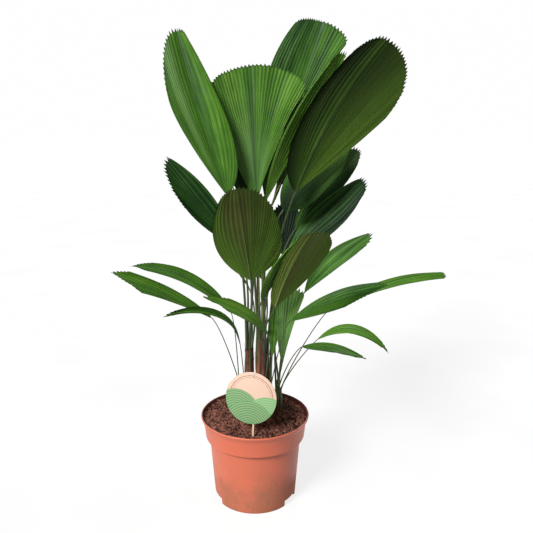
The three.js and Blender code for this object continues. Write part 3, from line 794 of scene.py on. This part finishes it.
def pleat_tree():
    """Folds a smooth sheet into uneven pleats, cuts its teeth and gives it two sides."""
    lengths = ["Pleat slope", "Tooth length", "Flutter", "Broad folds", "Thickness"]
    sides = ["Upper side", "Under side"]
    tree, given = geometry_tree("Leaf pleats", Float=lengths, Int=["Seed"], Material=sides)
    rib, reach = field(tree, "rib"), field(tree, "reach")
    lift = field(tree, "lift", "FLOAT_VECTOR")

    def waves(vector, scale, detail):
        inputs = {"Vector": vector, "W": given["Seed"], "Scale": scale, "Detail": detail}
        return node(tree, "ShaderNodeTexNoise", inputs, noise_dimensions="4D") - 0.5

    uneven = chance(0.6, 1.25, given["Seed"], maths("FLOOR", rib))
    depth = given["Pleat slope"] * field(tree, "width") * (uneven * 0.5)
    height = (maths("PINGPONG", rib, 0.5) * 2 - 0.5) * depth
    place = node(tree, "GeometryNodeInputPosition")
    flutter = waves(place, 14, 1) * given["Flutter"] * (reach * 2)
    across = node(tree, "ShaderNodeCombineXYZ", {"X": rib * 0.13})
    folds = waves(across, 1, 1.5) * given["Broad folds"] * reach
    rise = height + (flutter + folds) - given["Thickness"] * 0.5
    teeth = field(tree, "teeth", "FLOAT_VECTOR")
    shift = vector_maths(
        "ADD",
        vector_maths("SCALE", lift, rise),
        vector_maths("SCALE", teeth, given["Tooth length"] * uneven),
    )
    under = given["Geometry"].then("SetPosition", {"Offset": shift})
    out = {"Offset": lift, "Offset Scale": given["Thickness"], "Individual": False}
    upper = under.then("ExtrudeMesh", out, mode="FACES")
    mark = {"Name": "underside", "Value": True}
    flipped = under.then("FlipFaces")
    marked = flipped.then("StoreNamedAttribute", mark, data_type="BOOLEAN", domain="FACE")
    both = marked.then("JoinGeometry")
    upper.to(both.socket.node, 0)
    real = both.then("MergeByDistance", {"Distance": 2e-6}).then("RealizeInstances")
    first = real.then("SetMaterial", {"Material": given["Upper side"]})
    below = {"Selection": field(tree, "underside", "BOOLEAN"), "Material": given["Under side"]}
    return close_tree(first.then("SetMaterial", below))


def stalk_tree():
    """Gives a line of points with a radius each its round skin."""
    tree, given = geometry_tree("Stalk", Int=["Sides"], Material=["Material"])
    sides = {"Resolution": given["Sides"], "Radius": 1}
    ring = node(tree, "GeometryNodeCurvePrimitiveCircle", sides)
    round_it = {"Profile Curve": ring, "Scale": field(tree, "thick"), "Fill Caps": True}
    skin = given["Geometry"].then("MeshToCurve").then("CurveToMesh", round_it)
    real = skin.then("RealizeInstances")
    return close_tree(real.then("SetMaterial", {"Material": given["Material"]}))


def stalk_line(leaf, sizes):
    """The stalk from its sheath on the stem up to the leaf, then on under it as its midrib."""
    midrib = Midrib(leaf)
    sheath = []
    if isinstance(leaf.seat[0], str):
        stem = STEMS[leaf.seat[0]]
        turn = math.radians(leaf.seat[1])
        outwards = np.array([math.cos(turn), math.sin(turn), 0])
        foot = np.array(stem["top"], float) * MM
        foot = foot + outwards * SEAT_RADIUS * MM + np.array([0, 0, GAP * MM])
        slim = stem.get("slim", 1)
        for depth in np.linspace(1, 0, 7)[:-1]:
            out = 3.0 * slim * min(1, 2.2 * depth) - 0.8 * SEAT_RADIUS * (1 - slim) * depth
            sheath.append(foot + np.array([*(outwards[:2] * out), -SHEATH_DEPTH * depth]) * MM)
    else:
        foot = np.array([leaf.seat[0] * MM, leaf.seat[1] * MM, SOIL_HIGH.z - 2 * MM])
    base, along = midrib.at(0.0)
    end = base + along * (-GAP * MM if leaf.split else 5 * MM)
    span = np.linalg.norm(end - foot)
    lean = 0.6 if leaf.split else 0.25
    rise = unit(np.array([0, 0, 1 - lean]) + (end - foot) / span * lean)
    hold = span * (0.1 if leaf.split else 0.3)
    p0, p1, p2, p3 = foot, foot + rise * span * 0.3, end - along * hold, end
    s = np.linspace(0, 1, 30)[:, None]
    stalk = (1 - s) ** 3 * p0 + 3 * s * (1 - s) ** 2 * p1 + 3 * s * s * (1 - s) * p2 + s**3 * p3
    size = 0.55 if leaf.split else 0.8 + midrib.length / 0.75
    s = s[:, 0]
    radius = sizes.stalk + (sizes.stalk_tip - sizes.stalk) * s
    flare = (sizes.stalk_foot - sizes.stalk) * size * np.exp(-span * s / (18 * MM))
    radius = radius * size + flare
    share = np.minimum(1, span * s / 0.12)
    on = np.linspace(0.02, 0.72, 12)
    rib, heading = midrib.at(on)
    below = np.cross(np.cross(heading, midrib.up), heading)
    rib = rib - unit(below) * (RIB_DEPTH * MM)
    rib_radius = 0.6 * sizes.stalk_tip * size * (1 - on) ** 1.4
    points = np.vstack([np.array(sheath).reshape(-1, 3), stalk[:-1], rib])
    lows = len(sheath)
    sheath_radius = np.linspace(1.4 * MM, 1.1 * sizes.stalk_foot, lows + 1)[:-1]
    sheath_share = np.linspace(-1, 0, lows + 1)[:-1]
    pale = np.full(len(points), leaf.pale)
    pale[-len(on):] = leaf.rib
    attributes = {
        "thick": np.concatenate([sheath_radius, radius[:-1], rib_radius]),
        "share": np.concatenate([sheath_share, share[:-1], np.ones(len(on))]),
        "pale": pale,
        "dry": np.full(len(points), leaf.dry),
    }
    edges = [(i, i + 1) for i in range(len(points) - 1)]
    return new_piece(f"stalk_{leaf.name}_line", points, [], attributes=attributes, edges=edges)


def leaf_material(name, stops, bloom, tooth, roughness, specular, contrast):
    """Satin leaf: green by tone, which holds painted light and shade, painted shade in the folds
    and pale veins on the ridges along the ribs, painted sheen, and dry tooth tips.
    """
    made, shader, place = material(name, roughness, specular)
    tree = place.tree
    ribs = node(tree, "ShaderNodeUVMap", uv_map="ribs")
    streaks = cloud(ribs, 1, 3, 0.6, stretch=(0.6, 0.1, 1))
    bands = cloud(ribs, 1, 1, stretch=(0.17, 0.02, 1), shift=(1, 9, 0))
    fine = cloud(ribs, 1, 2, stretch=(2.2, 0.25, 1), shift=(7, 0, 0))
    patches = cloud(place, 14, 2)
    # tone: the leaf's own green together with painted light and shade
    tone = attribute(tree, "tone")
    light = tone
    for pattern, weight in ((bands, 0.55), (streaks, 0.45), (fine, 0.3), (patches, 0.3)):
        light += (pattern - 0.5) * (weight * contrast)
    ridge = maths("PINGPONG", axis(ribs, "X"), 0.5) * 2
    # Painted shade: a dark line in each fold between the pleats
    crease = spread_out(ridge, 0, 0.3, -0.3 * contrast, 0)
    vein = spread_out(ridge, 0.82, 1, 0, 0.3 * contrast)
    light += (crease + vein) * attribute(tree, "lines")
    # Painted sheen on the upper side, stronger where the tone is lighter, and its patches; the
    # underside takes a brown tinge from them instead
    gloss = cloud(ribs, 1, 3, stretch=(0.5, 0.07, 1), shift=(3, 5, 0))
    sheen_and_tinge_streaks = spread_out(gloss, 0.55, 0.75, 0, 0.3) * tone
    sheen_and_tinge_patches = attribute(tree, "bloom") * spread_out(gloss, 0.2, 0.6, 0.5, 1)
    shade = blend(maths("ADD", sheen_and_tinge_streaks, sheen_and_tinge_patches, clamp=True), ramp(light, stops), bloom)
    blend(attribute(tree, "tip") * 0.9, shade, tooth).to(shader, "Base Color")
    rough = spread_out(streaks, 0.2, 0.8, roughness - 0.08, roughness + 0.1, smooth=False)
    rough.to(shader, "Roughness")
    bump(shader, fine, 0.2 * MM, 0.5)
    return made


def stalk_material(colours):
    """Smooth stalk: green above, pale on young ones, brown and fibrous at its foot."""
    made, shader, place = material("Leaf stalk", 0.42)
    tree = place.tree
    streaks = cloud(place, 1, 4, stretch=(420, 420, 14))
    green = blend(attribute(tree, "pale"), colours.stalk, colours.stalk_pale)
    green = blend(spread_out(streaks, 0.35, 0.75, 0, 0.3), green, colours.leaf_mid)
    low = blend(spread_out(streaks, 0.35, 0.65), colours.stem, colours.sheath)
    worn = attribute(tree, "share") + (streaks - 0.5) * 0.9 - attribute(tree, "dry") * 1.1
    blend(spread_out(worn, -1, -0.4), low, green).to(shader, "Base Color")
    bump(shader, streaks, 0.4 * MM, 0.5)
    return made


# Stems


def stem_skin(name, stem, sizes, finish):
    """A stem with the ridges and torn edges of old leaf sheaths, flaring a little at its foot."""
    foot = np.array([*stem["foot"], SOIL_HIGH.z / MM - 2.5]) * MM
    top = np.array(stem["top"]) * MM
    low, high = np.array(stem["radii"]) * stem.get("slim", 1) * MM
    rise = top[2] - foot[2]
    rows, sides = 72, 56

    def rough(angle, scale, height):
        return noise.noise(Vector((*on_ring(scale, angle), height)))

    points = []
    for j in range(rows + 1):
        s = j / rows
        ease = s * s * (3 - 2 * s)
        centre = foot + (top - foot) * np.array([ease, ease, s])
        radius = low + (high - low) * s + 2.0 * MM * (1 - s) ** 8
        for i in range(sides):
            angle = 2 * math.pi * i / sides
            step = (s * rise / sizes.sheath + angle / (2 * math.pi)) % 1.0
            lap = (1 - step) ** 3 * 1.5 - 0.3
            ridge, cell = rough(angle, 14, s * rise * 9), rough(angle, 5, s * rise * 40)
            bulk = radius + sizes.relief * (lap + 0.9 * ridge + 0.7 * cell)
            torn = 5 * MM * rough(angle, 6, 4.0) * s**30
            points.append(centre + np.array([*on_ring(bulk, angle), torn]))
    points += [foot, top - np.array([0, 0, 3 * MM])]
    last = rows * sides
    pairs = [(i, (i + 1) % sides) for i in range(sides)]
    faces = [
        (j + i, j + k, j + sides + k, j + sides + i)
        for j in range(0, last, sides)
        for i, k in pairs
    ]
    for i, k in pairs:
        faces += [(k, i, len(points) - 2), (last + i, last + k, len(points) - 1)]
    return new_piece(name, points, faces, finish)


def fibre_tree():
    """Scatters thin curved fibres over a stem, each lying along it."""
    sizes = ["Fibres", "Length"]
    tree, given = geometry_tree("Stem fibres", Float=sizes, Int=["Seed"], Material=["Material"])
    seed, half = given["Seed"], given["Length"] * 0.5

    def at(**way):
        return node(tree, "ShaderNodeCombineXYZ", way)

    ends = {"Start": at(Z=half * -1), "Middle": at(X=half * 0.1), "End": at(Z=half)}
    strand = node(tree, "GeometryNodeCurveQuadraticBezier", {"Resolution": 5, **ends})
    thin = {"Resolution": 3, "Radius": 0.16 * MM}
    ring = node(tree, "GeometryNodeCurvePrimitiveCircle", thin)
    skin = strand.then("CurveToMesh", {"Profile Curve": ring, "Fill Caps": True})
    points = given["Geometry"].then(
        "DistributePointsOnFaces", {"Density": given["Fibres"], "Seed": seed}
    )
    normal = Value(points.socket.node.outputs["Normal"])
    upright = node(
        tree, "FunctionNodeAlignRotationToVector", {"Vector": normal}, axis="X", pivot_axis="Z"
    )
    sway = {"Rotation": upright, "Rotate By": chance((-0.3, -0.12, -0.2), (0.3, 0.12, 0.2), seed)}
    swayed = node(tree, "FunctionNodeRotateRotation", sway, rotation_space="LOCAL")
    size = chance((0.7, 0.7, 0.35), (1.8, 1.8, 1.2), seed)
    spots = points.then("InstanceOnPoints", {"Instance": skin, "Rotation": swayed, "Scale": size})
    real = spots.then("RealizeInstances")
    return close_tree(real.then("SetMaterial", {"Material": given["Material"]}))


def bark_material(name, dark, light, roughness=0.85):
    """Fibrous brown, streaked upwards."""
    made, shader, place = material(name, roughness)
    streaks = cloud(place, 1, 5, 0.65, stretch=(620, 620, 26))
    mixed = streaks * 0.65 + cloud(place, 60, 3) * 0.35
    blend(spread_out(mixed, 0.35, 0.68), dark, light).to(shader, "Base Color")
    bump(shader, streaks, 0.8 * MM, 0.7)
    return made


# Soil


def soil_block(sizes, pot, finish):
    """The soil as one lumpy block that fills the pot."""
    step = pot.height - pot.collar_height
    slope = (pot.shoulder - pot.base) / step
    inside = pot.wall + GAP * MM
    rim = pot.lip - pot.lip_width - 3 * MM
    top = SOIL_HIGH.z - 2 * MM
    rings = 44
    profile = [
        (0, SOIL_LOW.z),
        (pot.base + slope * SOIL_LOW.z - inside, SOIL_LOW.z),
        (pot.shoulder - inside - 0.3 * MM, step - 0.7 * MM),
        (pot.collar_foot - inside - 0.6 * MM, step + 3.2 * MM),
    ]
    profile += [(rim * (1 - j / rings), top) for j in range(rings)] + [(0, top)]
    points, faces = turned(profile, 150)
    lumpy = []
    for x, y, z in points:
        if z >= top - 1e-6:
            out = math.hypot(x, y) / rim
            spot = Vector((x, y, 0.0))
            swells = ((0.9, 45), (0.7, 130), (0.35, 420))
            z += sizes.lumps * sum(rise * noise.noise(spot * scale) for rise, scale in swells)
            z += 1.6 * MM * (1 - out**4) - 1.5 * MM * out**12
        lumpy.append((x, y, z))
    return new_piece("soil_heap", lumpy, faces, finish)


def grain_tree():
    """Scatters rough grains over the top of the soil."""
    sizes = ["Density", "Smallest", "Largest"]
    tree, given = geometry_tree("Soil grains", Float=sizes, Int=["Seed"], Material=["Material"])
    seed = given["Seed"]
    upward = maths("GREATER_THAN", axis(node(tree, "GeometryNodeInputNormal"), "Z"), 0.3)
    where = {"Selection": upward, "Density": given["Density"], "Seed": seed}
    points = given["Geometry"].then("DistributePointsOnFaces", where)
    ball = node(tree, "GeometryNodeMeshIcoSphere", {"Radius": 1, "Subdivisions": 1})
    share = chance(0.0, 1.0, seed, node(tree, "GeometryNodeInputIndex"))
    few = maths("POWER", share, 3)
    size = spread_out(few, 0, 1, given["Smallest"], given["Largest"], smooth=False)
    stance = {
        "Instance": ball,
        "Rotation": chance((-0.7, -0.7, 0.0), (0.7, 0.7, 6.28), seed),
        "Scale": vector_maths("SCALE", chance((0.55, 0.55, 0.4), (1.35, 1.1, 0.9), seed), size),
    }
    spots, mark = points.then("InstanceOnPoints", stance), {"Name": "crumb", "Value": share}
    toned = spots.then("StoreNamedAttribute", mark, data_type="FLOAT", domain="INSTANCE")
    dents = {"Vector": node(tree, "GeometryNodeInputPosition"), "Scale": 900, "Detail": 1}
    dents = node(tree, "ShaderNodeTexNoise", dents, "Color")
    push = vector_maths("SCALE", vector_maths("SUBTRACT", dents, (0.5, 0.5, 0.5)), 1.2 * MM)
    dented = toned.then("RealizeInstances").then("SetPosition", {"Offset": push})
    return close_tree(dented.then("SetMaterial", {"Material": given["Material"]}))


def soil_material(name, dark, light, scale, share=0.0):
    """Crumbly soil, mostly dark. share: how far each crumb's own tone counts."""
    made, shader, place = material(name, 0.95, specular=0.25)
    patches = cloud(place, scale, 5, 0.7)
    light_share = spread_out(patches, 0.44, 0.8)
    light_share += spread_out(cloud(place, 22, 2), 0.35, 0.65, -0.12, 0.1)
    own = (attribute(place.tree, "crumb") - 0.5) * share
    blend(maths("ADD", light_share, own, clamp=True), dark, light).to(shader, "Base Color")
    bump(shader, patches, 1.2 * MM, 0.8)
    return made


# Pot


def pot_profile(pot):
    """Half outline of the pot, from the middle of its foot round the wall to its floor."""
    step = pot.height - pot.collar_height
    top = pot.height
    roll = pot.lip_width / 2
    corner = 1.2 * MM

    def outer(z):
        return pot.base + (pot.shoulder - pot.base) * z / step

    return [
        (0, 0),
        (pot.base - 6 * MM, 0),
        *arc((pot.base - corner, corner), corner, -90, -10, 5),
        *[(outer(z), z) for z in np.linspace(6 * MM, step - 3 * MM, 12)],
        *arc((pot.shoulder + 1.4 * MM, step - 1.6 * MM), 1.4 * MM, 180, 95, 4),
        *arc((pot.collar_foot - 1.6 * MM, step + 1.4 * MM), 1.6 * MM, -85, 0, 5),
        (pot.collar_top - 0.5 * MM, top - 13 * MM),
        (pot.collar_top + 1.2 * MM, top - 8.5 * MM),
        (pot.lip - 1.0 * MM, top - 5.2 * MM),
        *arc((pot.lip - roll, top - roll), roll, -20, 180, 10),
        (pot.collar_top - pot.wall, top - 9 * MM),
        (pot.collar_foot - pot.wall, step + 3 * MM),
        (outer(step) - pot.wall, step - 1 * MM),
        (outer(pot.floor) - pot.wall, pot.floor),
        (0, pot.floor),
    ]


def notch_cutter(pot, start, end):
    """A block of a ring from one azimuth to another that cuts a notch into the foot."""
    steps = 10
    inner, outer = pot.base - pot.notch_depth, pot.base + 12 * MM
    low, high = -5 * MM, pot.notch_height
    points = [
        (*on_ring(radius, a), z)
        for a in np.radians(np.linspace(start, end, steps + 1))
        for radius, z in ((inner, low), (outer, low), (outer, high), (inner, high))
    ]
    faces = [(0, 1, 2, 3), tuple(4 * steps + k for k in (3, 2, 1, 0))]
    for j in range(0, 4 * steps, 4):
        for k in range(4):
            m = (k + 1) % 4
            faces.append((j + k, j + 4 + k, j + 4 + m, j + m))
    return new_piece("notch", points, faces)


def pot_material(pot, colours):
    """Matte plastic, painted lighter on the collar, dusty below, with faint grey-green marks and
    painted shade on the inner wall under the lip.
    """
    made, shader, place = material("Pot plastic", 0.48)
    height = axis(place, "Z")
    specks = cloud(place, 90, 4, 0.7, stretch=(1, 1, 0.6))
    drips = cloud(place, 1, 3, stretch=(70, 70, 9))
    low = spread_out(height, 0.11, 0)
    dust = spread_out(cloud(place, 16, 4, 0.6), 0.38, 0.62) * (low + 0.12)
    dust = maths("ADD", dust, spread_out(height, 0.066, 0.012) * 0.6, clamp=True)
    step = pot.height - pot.collar_height
    # Painted light: the collar coloured lighter than the wall
    shade = blend(spread_out(height, step, step + 3 * MM), colours.pot, colours.pot_collar_painted_light)
    shade = blend(dust * 0.75, shade, colours.pot_dust)
    marks = spread_out(specks, 0.53, 0.68) * spread_out(drips, 0.42, 0.6) * (low + 0.05)
    shade = blend(marks * 0.8, shade, colours.pot_scuff)
    # Painted shade, with the soil's stain: the inner wall under the lip darkened to red-brown
    level = vector_maths("LENGTH", vector_maths("MULTIPLY", place, (1, 1, 0)))
    wall_slope = (pot.lip - pot.lip_width - pot.collar_top + pot.wall) / (8 * MM)
    from_wall = level - (height - (pot.height - 9 * MM)) * wall_slope
    wall = pot.collar_top - pot.wall
    inner = spread_out(from_wall, wall + 1.6 * MM, wall + 0.6 * MM)
    inner *= spread_out(height, pot.height - 20 * MM, pot.height - 14 * MM)
    blend(inner, shade, colours.pot_inside_stain_and_shade).to(shader, "Base Color")
    spread_out(dust, 0, 1, 0.42, 0.75, smooth=False).to(shader, "Roughness")
    bump(shader, specks + drips * 0.5, 0.25 * MM, 0.35)
    return made


# Tag


def card_material(colours):
    """Printed card: two thin rings and three plain rounded hills."""
    made, shader, place = material("Tag card", 0.55)
    flat = node(place.tree, "ShaderNodeUVMap", uv_map="ribs")
    grain = cloud(place, 900, 2)
    from_middle = vector_maths("LENGTH", flat)
    shade = blend(spread_out(grain, 0.3, 0.7, 0, 0.12), colours.card, WHITE)
    above = spread_out(axis(flat, "Y"), -0.02, 0.02)
    for radius, half_width in ((0.86, 0.012), (0.79, 0.006)):
        ring = maths("COMPARE", from_middle, radius, half_width) * above
        shade = blend(ring, shade, colours.card_line)
    hills = (
        ((-0.6, -0.68, 0), 1.0, colours.card_deep),
        ((0.66, -0.85, 0), 0.95, colours.card_green),
        ((-0.08, -1.22, 0), 1.1, colours.card_deep),
    )
    for centre, radius, ink in hills:
        away = vector_maths("DISTANCE", flat, centre)
        bands = spread_out(maths("PINGPONG", away, 0.045), 0.018, 0.028, 0, 0.35)
        inked = blend(bands, ink, colours.card)
        shade = blend(spread_out(away, radius, radius - 0.02), shade, inked)
    shade.to(shader, "Base Color")
    bump(shader, grain, 0.05 * MM, 0.3)
    return made


def bevelled(piece, width):
    modifier = piece.modifiers.new("Bevel", "BEVEL")
    modifier.width = width
    modifier.segments = 2
    modifier.limit_method = "ANGLE"
    modifier.angle_limit = math.radians(40)


def cut(piece, cutters):
    """Cuts the cutters out of the piece."""
    for cutter in cutters:
        modifier = piece.modifiers.new("Cut", "BOOLEAN")
        modifier.operation = "DIFFERENCE"
        modifier.solver = "EXACT"
        modifier.object = cutter


def drop(pieces):
    for piece in pieces:
        bpy.data.objects.remove(piece)


# Operators


class PALM_OT_pot(bpy.types.Operator):
    """Builds the pot with its rolled lip, collar and notched foot"""

    bl_idname = "palm.pot"
    bl_label = "Pot"

    def execute(self, context):
        pot = context.scene.palm_pot
        finish = pot_material(pot, context.scene.palm_colours)
        piece = new_piece("plant_pot", *turned(pot_profile(pot), pot.sides), finish)
        cutters = [notch_cutter(pot, start, end) for start, end in NOTCHES]
        cut(piece, cutters)
        settle(piece, crease=32)
        drop(cutters)
        finish_piece(piece, "pot", "pot")
        return {"FINISHED"}


class PALM_OT_soil(bpy.types.Operator):
    """Builds the lumpy soil, its crumbs and its white grains"""

    bl_idname = "palm.soil"
    bl_label = "Soil"

    def execute(self, context):
        sizes, colours = context.scene.palm_soil, context.scene.palm_colours
        dark, light = colours.soil, colours.soil_light
        finish = soil_material("Soil", dark, light, 260)
        block = soil_block(sizes, context.scene.palm_pot, finish)
        settle(block)
        crumb = soil_material("Soil crumbs", dark, light, 180, share=1.1)
        white = soil_material("White grains", light, colours.grain, 500)
        tree = grain_tree()
        kinds = (
            ("soil_crumbs", sizes.crumbs, sizes.crumb_small, sizes.crumb_large, 1, crumb),
            ("soil_grains", sizes.grains, sizes.grain_small, sizes.grain_large, 2, white),
        )
        for name, density, small, large, shift, finish in kinds:
            values = {"Density": float(density), "Smallest": small, "Largest": large}
            values.update({"Seed": sizes.seed + shift, "Material": finish})
            grains = scattered(name, block, tree, values)
            settle(grains)
            finish_piece(grains, "soil")
        finish_piece(block, "soil", "soil")
        return {"FINISHED"}


class PALM_OT_stems(bpy.types.Operator):
    """Builds the stems with their sheaths and fibres"""

    bl_idname = "palm.stems"
    bl_label = "Stems"

    def execute(self, context):
        sizes, colours = context.scene.palm_stem, context.scene.palm_colours
        bark = bark_material("Stem sheath", colours.stem, colours.sheath)
        young_bark = bark_material("Young stem sheath", colours.sheath, colours.fibre)
        fibre = bark_material("Stem fibre", colours.sheath, colours.fibre)
        tree = fibre_tree()
        for name, stem in STEMS.items():
            finish = young_bark if stem.get("young") else bark
            piece = stem_skin(f"trunk_{name}", stem, sizes, finish)
            values = {"Fibres": float(sizes.fibres), "Length": sizes.fibre, "Material": fibre}
            values["Seed"] = sizes.seed + len(name)
            fibres = scattered(f"fibres_{name}", piece, tree, values)
            settle(piece, crease=60)
            settle(fibres, crease=60)
            finish_piece(piece, "stem", f"stem_{name}")
            finish_piece(fibres, "stem")
        return {"FINISHED"}


class PALM_OT_leaves(bpy.types.Operator):
    """Builds the pleated leaves and their stalks"""

    bl_idname = "palm.leaves"
    bl_label = "Leaves"

    def execute(self, context):
        sizes, colours = context.scene.palm_leaf, context.scene.palm_colours
        greens = colours.leaf_shade, colours.leaf_deep, colours.leaf_mid, colours.leaf_fresh
        olives = colours.under_shade, colours.under_mid, colours.under_fresh
        upper = leaf_material(
            "Leaf upper side", list(zip((0, 0.33, 0.66, 1), greens)), colours.leaf_bloom,
            colours.tooth, roughness=0.5, specular=0.14, contrast=1.0,
        )
        under = leaf_material(
            "Leaf underside", list(zip((0, 0.5, 1), olives)), colours.under_brown,
            colours.tooth, roughness=0.62, specular=0.06, contrast=0.7,
        )
        values = {
            "Pleat slope": sizes.slope,
            "Tooth length": sizes.tooth,
            "Flutter": sizes.flutter,
            "Broad folds": sizes.folds,
            "Thickness": sizes.thickness,
            "Upper side": upper,
            "Under side": under,
        }
        skin = {"Sides": 10, "Material": stalk_material(colours)}
        pleats, round_skin = pleat_tree(), stalk_tree()
        for number, leaf in enumerate(LEAVES):
            blade = blade_sheet(leaf, sizes)
            put_nodes(blade, pleats, {**values, "Seed": sizes.seed + number})
            settle(blade, crease=28)
            stalk = stalk_line(leaf, sizes)
            put_nodes(stalk, round_skin, skin)
            settle(stalk, crease=60)
            if leaf.split:
                stalk.name = f"petiole_{leaf.name}"
                finish_piece(stalk, "stalk", f"stalk_{leaf.name}")
                finish_piece(blade, "leaf", f"blade_{leaf.name}")
            else:
                whole = join(f"leaf_{leaf.name}", [blade, stalk])
                finish_piece(whole, "leaf", f"frond_{leaf.name}")
        return {"FINISHED"}


class PALM_OT_tag(bpy.types.Operator):
    """Builds the round card and its pointed stick"""

    bl_idname = "palm.tag"
    bl_label = "Tag"

    def execute(self, context):
        sizes, colours = context.scene.palm_tag, context.scene.palm_colours
        lean, turn = math.radians(-TAG_LEAN), math.radians(TAG_TURN)
        stance = Matrix.Rotation(turn, 4, "Z") @ Matrix.Rotation(lean, 4, "X")
        stance = Matrix.Translation(Vector(TAG_CENTRE) * MM) @ stance
        half, radius = sizes.card / 2, sizes.radius
        points, faces = turned([(0, -half), (radius, -half), (radius, half), (0, half)], 120)
        flat = [(x / radius, y / radius + (PLAIN if z < 0 else 0)) for x, y, z in points]
        upright = [(x, -z, y) for x, y, z in points]
        card = new_piece("tag_card", upright, faces, card_material(colours), uv=flat)
        stick_x, stick_y = STICK_X * MM, (CARD_BACK + STICK_THICK / 2) * MM
        opening = sizes.stick / 2 + 0.3 * MM
        corners = [
            (stick_x + dx * opening, dy * 3 * half, z)
            for z in (radius - sizes.slot, radius * 1.1)
            for dx, dy in ((-1, -1), (1, -1), (1, 1), (-1, 1))
        ]
        sides = [(i, (i + 1) % 4, (i + 1) % 4 + 4, i + 4) for i in range(4)]
        slot = new_piece("slot", corners, [*sides, (3, 2, 1, 0), (4, 5, 6, 7)])
        cut(card, [slot])
        bevelled(card, 0.25 * MM)
        settle(card, crease=35)
        drop([slot])
        card.data.transform(stance)
        finish_piece(card, "tag", "tag_disc")

        width, thick = sizes.stick / 2, STICK_THICK / 2 * MM
        low, high = (SOIL_HIGH.z / MM - 8 - TAG_CENTRE[2]) * MM, STICK_TOP * MM
        shoulder = high - sizes.point
        outline = [(-width, low), (width, low), (width, shoulder), (0, high), (-width, shoulder)]
        points = [(stick_x + x, stick_y + y, z) for y in (-thick, thick) for x, z in outline]
        faces = [(0, 1, 2, 3, 4), (9, 8, 7, 6, 5)]
        faces += [(i, i + 5, (i + 1) % 5 + 5, (i + 1) % 5) for i in range(5)]
        wood = bark_material("Stick wood", colours.stick, colours.card, 0.6)
        stick = new_piece("tag_stick_wood", points, faces, wood)
        bevelled(stick, 0.3 * MM)
        settle(stick, crease=35)
        stick.data.transform(stance)
        finish_piece(stick, "stick", "tag_stick")
        return {"FINISHED"}


def studio_world():
    """Even light from all round. The camera sees the backdrop's own brightness."""
    world = bpy.data.worlds.new("Studio")
    world.use_nodes = True
    tree = world.node_tree
    lit = tree.nodes["Background"]
    lit.inputs["Color"].default_value = WHITE
    lit.inputs["Strength"].default_value = FILL
    backdrop = {"Color": (BACKDROP, BACKDROP, BACKDROP, 1.0), "Strength": 1}
    seen = node(tree, "ShaderNodeBackground", backdrop)
    direct = node(tree, "ShaderNodeLightPath", output="Is Camera Ray")
    either = node(tree, "ShaderNodeMixShader", {0: direct, 1: Value(lit.outputs[0]), 2: seen})
    either.to(next(n for n in tree.nodes if n.type == "OUTPUT_WORLD"), "Surface")
    bpy.context.scene.world = world


def soft_light(name, azimuth, elevation, strength):
    """A large far lamp."""
    lamp = bpy.data.lights.new(name, "SUN")
    lamp.energy = strength
    lamp.angle = math.radians(LAMP_SPREAD)
    light = link(bpy.data.objects.new(name, lamp))
    facing = Vector(towards(azimuth, elevation))
    light.rotation_euler = facing.to_track_quat("Z", "Y").to_euler()


class PALM_OT_stage(bpy.types.Operator):
    """Sets the floor, the studio light and the camera"""

    bl_idname = "palm.stage"
    bl_label = "Stage"

    def execute(self, context):
        scene = context.scene
        made, shader, place = material("Studio floor", 0.9, specular=0.0)
        faint = spread_out(cloud(place, 3, 2), 0.3, 0.7, 0, 0.05)
        blend(faint, scene.palm_colours.floor, WHITE).to(shader, "Base Color")
        shader.inputs["Emission Color"].default_value = WHITE
        shader.inputs["Emission Strength"].default_value = FLOOR_GLOW
        floor = new_piece("floor", *turned([(0, 0), (FLOOR_RADIUS, 0)], 64), made)
        floor.visible_diffuse = False

        scene.view_settings.view_transform = "Standard"
        studio_world()
        for name, lamp in LAMPS.items():
            soft_light(name, *lamp)

        camera = bpy.data.cameras.new("Camera")
        camera.sensor_width = SENSOR
        camera.lens = FOCAL_PIXELS / PHOTO_WIDTH * SENSOR
        eye = link(bpy.data.objects.new("Camera", camera))
        eye.location = CAMERA_PLACE
        eye.rotation_euler = (math.radians(90 - CAMERA_PITCH), 0, 0)
        scene.camera = eye
        return {"FINISHED"}


OPERATORS = (PALM_OT_stage, PALM_OT_pot, PALM_OT_soil, PALM_OT_stems, PALM_OT_leaves, PALM_OT_tag)


class VIEW3D_PT_palm(bpy.types.Panel):
    """Lists the steps that build the palm, with its sizes and colours"""

    bl_label = "Fan palm"
    bl_space_type = "VIEW_3D"
    bl_region_type = "UI"
    bl_category = "Fan palm"

    def draw(self, context):
        for operator in OPERATORS:
            self.layout.operator(operator.bl_idname)
        for name, group in SETTINGS.items():
            box = self.layout.box()
            box.label(text=group.__doc__)
            for key in group.__annotations__:
                box.prop(getattr(context.scene, name), key)


CLASSES = (*SETTINGS.values(), *OPERATORS, VIEW3D_PT_palm)


def register():
    for cls in CLASSES:
        bpy.utils.register_class(cls)
    for name, group in SETTINGS.items():
        setattr(bpy.types.Scene, name, PointerProperty(type=group))


def unregister():
    for name in SETTINGS:
        delattr(bpy.types.Scene, name)
    for cls in reversed(CLASSES):
        bpy.utils.unregister_class(cls)


def main():
    register()
    bpy.ops.palm.stage()
    bpy.ops.palm.pot()
    bpy.ops.palm.soil()
    bpy.ops.palm.stems()
    bpy.ops.palm.leaves()
    bpy.ops.palm.tag()


if __name__ == "__main__":
    main()
